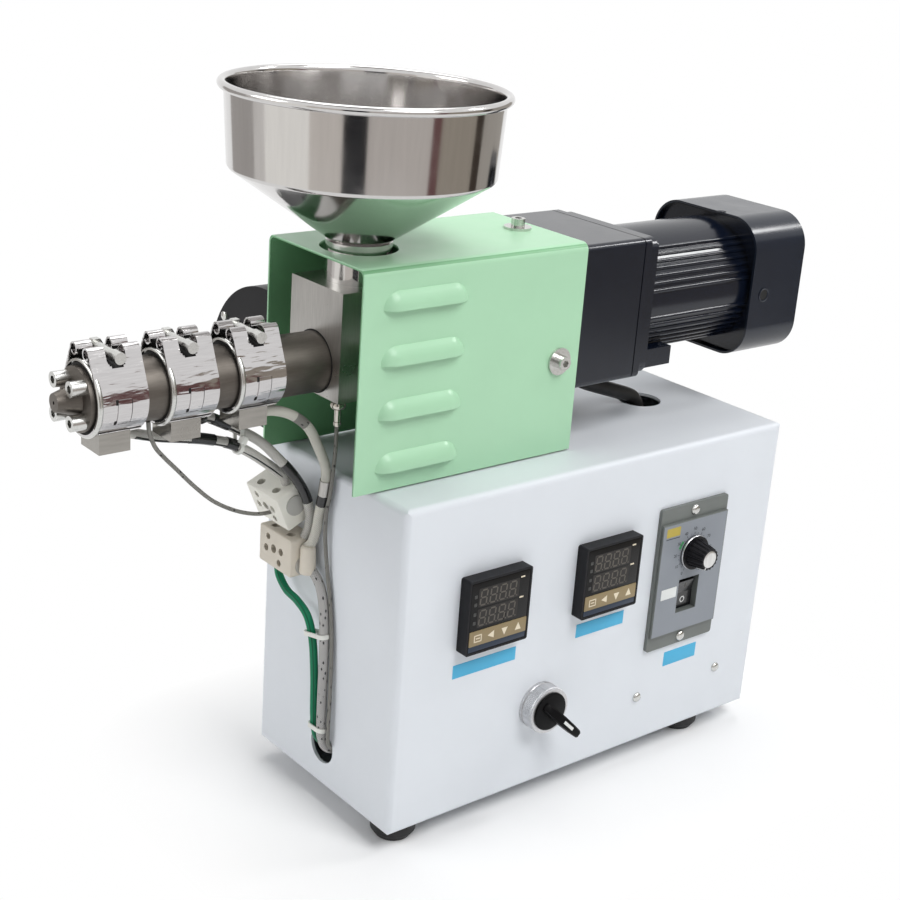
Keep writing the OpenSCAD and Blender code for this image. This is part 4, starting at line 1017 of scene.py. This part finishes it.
for number, (aside, up) in enumerate(((-1, 1), (1, 1), (1, -1))):
    place = at(FLANGE_X, AXIS_Y + aside * FLANGE_SCREW, GEAR_Z + up * FLANGE_SCREW)
    lathe(f"flange_screw_{number}", socket_profile, place, M["motor"], "x", 36)

# Fan cover: a dimple on its side, with a near-black disc in it as painted shade, and a screw on top; blower:
# inlet rim and screw
DIMPLE, TOP_SCREW = (314.7, 30.0, 291.0), (303.5, 65.7, 340.4)
INLET, BLOWER_SCREW = (0, 149.8, 241.0), (0, 193.6, 272.0)
washer("fan_dimple_rim", [(3.6, -0.02), (4.2, -0.02), (4.9, 0.3), (4.3, 0.55), (3.6, 0.3)],
       at(*DIMPLE), M["fan"], "-y", segments=40)
# Painted shade: a near-black disc in the dimple.
lathe("fan_dimple", [(TIP, 0.04), (2.6, 0.04), (3.65, 0.12), (3.65, -0.2), (TIP, -0.2)],
      at(*DIMPLE), M["hollow"], "-y", 36)
lathe("fan_cover_top_screw", [(TIP, 1.1), (1.8, 1.05), (2.9, 0.7), (3.2, 0.2), (3.2, -0.3), (TIP, -0.3)],
      at(*TOP_SCREW), M["motor"], "z", 36)
washer("blower_inlet_rim", [(20.0, -0.9), (21.8, -0.9), (22.4, -0.3), (22.4, 0.3), (20.0, 0.3)],
       at(*INLET), M["plastic"], "x")
lathe("blower_screw", [(TIP, -2.0), (1.6, -1.8), (2.8, -1.1), (3.1, 0), (3.1, 0.4), (TIP, 0.4)],
      at(*BLOWER_SCREW), M["zinc"], "x", 32)

# Cords: look, diameter and the route's points, in millimetres
CORD_ROUTES = {
    "heater_lead_front": ("glass_sleeve", 6.0, [
        (-134, 81, 253.1), (-125.5, 85, 251), (-115.5, 90.5, 246.5), (-102.5, 93.5, 242.1),
        (-87.5, 95, 238.5), (-71.5, 96, 234.5), (-55.5, 96.5, 229), (-42.5, 96.5, 221.5),
        (-31, 98, 213), (-21.5, 99.5, 205.5), (-15, 100, 199.5), (-12.5, 100, 193)]),
    "heater_lead_middle": ("glass_sleeve", 6.0, [
        (-92, 81, 253.1), (-83.5, 84, 252.5), (-74.5, 90.5, 250), (-61.5, 95, 243),
        (-48.5, 97.5, 235.5), (-35.5, 96, 227), (-25, 92.5, 216), (-15.5, 88.5, 204),
        (-8.5, 86.5, 191.5), (-5, 86.2, 179), (-4.5, 87, 170.5), (-5, 88.2, 166.5),
        (-5.5, 89.5, 163)]),
    "heater_lead_rear": ("white_sleeve", 6.0, [
        (-50, 77, 253.1), (-39.5, 76, 252.5), (-28.5, 74, 248.5), (-19, 71.5, 240.5),
        (-13, 70, 229), (-6, 70.5, 213), (-4.8, 73, 198), (-4.8, 76.5, 184), (-4.8, 79, 171),
        (-6, 82, 161.5), (-8, 87, 156.5)]),
    "thermocouple_lead": ("braid", 2.4, [
        (-122, 70, 261.56), (-120.5, 71, 253.96), (-116, 73, 244.96), (-109, 76, 236.96),
        (-98, 81, 225.96), (-83, 87.5, 210.96), (-66, 94.5, 196), (-47, 101, 184), (-30, 105, 177),
        (-17, 107, 175)]),
    "probe_lead": ("braid", 2.4, [
        (-5, 63, 241.1), (-4.5, 64, 227.1), (-3.8, 66, 215), (-3.6, 68.3, 198), (-3.6, 71.3, 184),
        (-3, 72, 167), (-2.2, 69.5, 147), (-2, 66, 131), (-2.2, 62, 106), (-2.8, 60.2, 72),
        (-3.2, 59.8, 46), (-2, 60.2, 34), (5, 60.7, 28.5), (14, 60.8, 27.5)]),
    "green_wires": ("green_wire", 5.0, [
        (-9, 112, 139), (-9, 110, 130.5), (-9.2, 101, 124), (-9.2, 89, 121.5), (-8.6, 78.5, 115),
        (-7.4, 74, 100), (-6, 72.8, 76), (-5.2, 72.6, 52), (-3.6, 72.8, 39), (0, 73, 31.5),
        (6, 73, 28), (16, 73, 27)]),
    "grey_wires": ("grey_sleeve", 6.0, [
        (-7, 87, 146), (-5.5, 79.5, 143.5), (-4.6, 72.5, 136), (-4.4, 68.3, 122), (-4.4, 66.3, 98),
        (-4.4, 66, 70), (-4.2, 66, 48), (-3.4, 66, 37), (0, 66, 29.5), (6, 66, 26), (16, 66, 25)]),
    "motor_cable": ("black_sleeve", 10.0, [
        (197, 82, 248.6), (198.2, 82, 241.6), (202, 82, 235.1), (210, 82, 229.8),
        (249, 82, 215.8), (257, 82, 210.5), (260.8, 82, 204), (262, 82, 197)]),
}
ROUTE_STEPS = 6
WAYS = {}
for cord_name, (look, diameter, route) in CORD_ROUTES.items():
    way = smooth_route([at(*p) for p in route], ROUTE_STEPS)
    WAYS[cord_name] = way
    cord_piece, run = tube(cord_name + "_cord", way, diameter / 2000, M[look])
    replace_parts(cord_piece, cord_name)

# Dark wires that run along the front and middle leads: radius and shift from the lead, in metres
SIDE_WIRES = ((0.0009, (0.0012, -0.0018, -0.0021)), (0.0006, (-0.0012, -0.0012, 0.0026)))
for cord_name, first, last in (("heater_lead_front", 8, 60), ("heater_lead_middle", 6, 64)):
    for number, (radius, shift) in enumerate(SIDE_WIRES):
        wire_way = [point + Vector(shift) for point in WAYS[cord_name][first:last]]
        tube(f"{cord_name}_wire_{number}", wire_way, radius, M["gloss"], sides=10)

# Shrink tubes, a braid and a ferrule on the leads: first and last point, how far they stand out
LEAD_R = 3.0
for name, lead, first, last, out, look in (
        ("shrink_front_a", "front", 26, 32, 0.35, "gloss"),
        ("shrink_front_b", "front", 35, 38, 0.35, "gloss"),
        ("shrink_middle_a", "middle", 3, 9, 0.35, "gloss"),
        ("shrink_middle_b", "middle", 14, 20, 0.35, "gloss"),
        ("braid_middle", "middle", 38, 50, 0.2, "gloss"),
        ("bare_rear", "rear", 13, 17, 0.05, "braid"),
        ("shrink_rear", "rear", 37, 40, 0.3, "gloss"),
        ("ferrule_rear", "rear", 33, 37, 0.5, "steel")):
    tube(name, WAYS[f"heater_lead_{lead}"][first:last + 1], (LEAD_R + out) / 1000, M[look], sides=20)

# Cable ties
TIE_WIDTH, TIE_THICK = 2.6, 1.0


def cable_tie(name, first, second, along, reach):
    """A nylon band round two cords, with its head: first and second are the cords' middles."""
    a, b = at(*first), at(*second)
    along = Vector(along).normalized()
    across = b - a
    across = (across - along * across.dot(along)).normalized()
    side = along.cross(across)
    bm = bmesh.new()
    rings = []
    for middle, start in ((b, -90), (a, 90)):
        for share in shares(12):
            turn = math.radians(start + 180 * share)
            outward = math.cos(turn) * across + math.sin(turn) * side
            rings.append([bm.verts.new(middle + (outward * (reach + out) + along * shift * TIE_WIDTH) / 1000)
                          for out, shift in ((0, -0.5), (0, 0.5), (TIE_THICK, 0.5), (TIE_THICK, -0.5))])
    for i, ring in enumerate(rings):
        other = rings[(i + 1) % len(rings)]
        for k in range(4):
            bm.faces.new((ring[k], ring[(k + 1) % 4], other[(k + 1) % 4], other[k]))
    from_bmesh(name, bm, M["tie"])
    head_at = (a + b) / 2 + side * (reach + 1.5) / 1000
    turn_to = Matrix((across, side, along)).transposed()
    outline_solid(name + "_head", rounded(-2.3, -2.0, 2.3, 2.0, 0.5), 3.6,
                  lambda u, v, w: head_at + turn_to @ Vector((u, v, w - 1.8)) / 1000, M["tie"], 0.4)


cable_tie("tie_leads", (-49, 96.5, 225.3), (-49, 97.4, 235.8), (0.85, 0, -0.52), 3.2)
cable_tie("tie_grey_green", (-7.9, 75.8, 106), (-4.4, 67, 106), (0, 0.25, 1), 3.15)
cable_tie("tie_at_hole", (-4.2, 72.7, 43), (-3.9, 66, 43), (0.1, 0, 1), 3.15)

# Closed cap over the joint of the rear lead and the grey wires
WIRE_CAP_AT = (-7.6, 82.4, 151)
wire_cap_profile = [
    (TIP, 9.5), (3.4, 9.3), (4.3, 8.4), (4.7, 6.0), (5.0, -7.5), (4.6, -8.4), (3.6, -8.6), (TIP, -8.6)]
lathe("wire_cap", wire_cap_profile, at(*WIRE_CAP_AT), M["warm_ceramic"], "z", 48)

# Stage: a white floor that fades into the white world away from the cabinet
FLOOR_HALF, FADE = 9, 0.11
make_camera()
make_world()
bpy.context.scene.view_settings.view_transform = "Standard"


def plain_mesh(name, verts, faces, mat):
    mesh = bpy.data.meshes.new(name)
    mesh.from_pydata(verts, [], faces)
    mesh.materials.append(mat)
    return add_object(name, mesh)


def floor_paint():
    mat, tree, bsdf = new_material("floor_white")
    fill(tree, bsdf, {"Base Color": (0.96, 0.96, 0.96, 1), "Roughness": 0.9})
    white = add_node(tree, "Emission", {"Strength": 1.0})
    low, high = (Vector(corner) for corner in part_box("cabinet"))
    away = coords(tree)
    for operation, amount in (("SUBTRACT", (low + high) / 2), ("ABSOLUTE", None),
                              ("SUBTRACT", (high - low) / 2), ("MAXIMUM", Vector()),
                              ("MULTIPLY", Vector((1, 1, 0))), ("LENGTH", None)):
        inputs = {0: away} if amount is None else {0: away, 1: amount}
        step = add_node(tree, "VectorMath", inputs, operation=operation)
        away = step.outputs["Value" if operation == "LENGTH" else "Vector"]
    share = work_out(tree, "MULTIPLY", remap(tree, away, 0.0, 1.0, 0.0, FADE), seen_rays(tree))
    mix = add_node(tree, "MixShader", {0: share, 1: bsdf.outputs[0], 2: white.outputs[0]})
    fill(tree, tree.nodes["Material Output"], {"Surface": mix.outputs[0]})
    return mat


floor_corners = rectangle(-FLOOR_HALF, -FLOOR_HALF, FLOOR_HALF, FLOOR_HALF)
floor = plain_mesh("floor", [(x, y, 0) for x, y in floor_corners], [(0, 1, 2, 3)], floor_paint())


def mirror_only(name, verts, faces, colour):
    """A glowing part of the studio that shows in shiny metal alone."""
    mat, tree, bsdf = new_material(name)
    tree.nodes.remove(bsdf)
    glow = add_node(tree, "Emission", {"Color": (*colour, 1)})
    fill(tree, tree.nodes["Material Output"], {"Surface": glow.outputs[0]})
    obj = plain_mesh(name, verts, faces, mat)
    obj.visible_camera = False
    obj.visible_diffuse = False
    obj.visible_shadow = False
    obj.visible_transmission = False


# Studio walls round the hopper: bearing from and to in degrees, colour, height in metres
WALL_R, WALL_STEPS = 1.15, 8
STUDIO_WALLS = (
    ("back_left", -45, -8, srgb(178, 174, 171), 0.66),
    ("left_edge", -58, -45, srgb(222, 219, 216), 0.66),
    ("left_wall", -100, -58, srgb(255, 253, 249), 0.66),
    ("left_shade", -127, -100, srgb(216, 210, 204), 0.66),
    ("dark_door", -146, -127, srgb(28, 28, 32), 0.62),
    ("middle_wall", -198, -146, srgb(202, 196, 191), 0.66),
    ("red_post", -206, -198, srgb(110, 78, 78), 0.6),
    ("right_wall", -242, -206, srgb(162, 154, 143), 0.66),
    ("right_door", -252, -242, srgb(66, 58, 52), 0.62),
    ("right_edge", -290, -252, srgb(172, 167, 160), 0.66),
)
for wall_name, start, end, colour, height in STUDIO_WALLS:
    verts = []
    for share in shares(WALL_STEPS):
        bearing = math.radians(start + (end - start) * share)
        spot = at(HOPPER_X, AXIS_Y, 0) + WALL_R * Vector((math.sin(bearing), math.cos(bearing), 0))
        verts += [(spot.x, spot.y, 0.0), (spot.x, spot.y, height)]
    mirror_only(wall_name, verts, grid_faces(WALL_STEPS + 1, 2, wrap=False), colour)

CEILING_R, CEILING_Z, CEILING_POINTS = 1.3, 2.6, 32
ceiling_edge = [(x, y, CEILING_Z) for x, y in disc(0, 0, CEILING_R, CEILING_POINTS)]
mirror_only("ceiling", ceiling_edge, [tuple(range(CEILING_POINTS))], srgb(150, 149, 148))

area_light("key", (0.15, -1.5, 2.1), (0, 0, 0.2), 1.1, 33)
area_light("left", (-1.9, 0.95, 1.1), (0, 0, 0.2), 1.1, 14)
area_light("fill", (1.6, -0.62, 1.6), (0.18, 0, 0.3), 0.36, 8)
area_light("top", (0.35, 0.6, 2.2), (0, 0, 0.2), 1.5, 18)
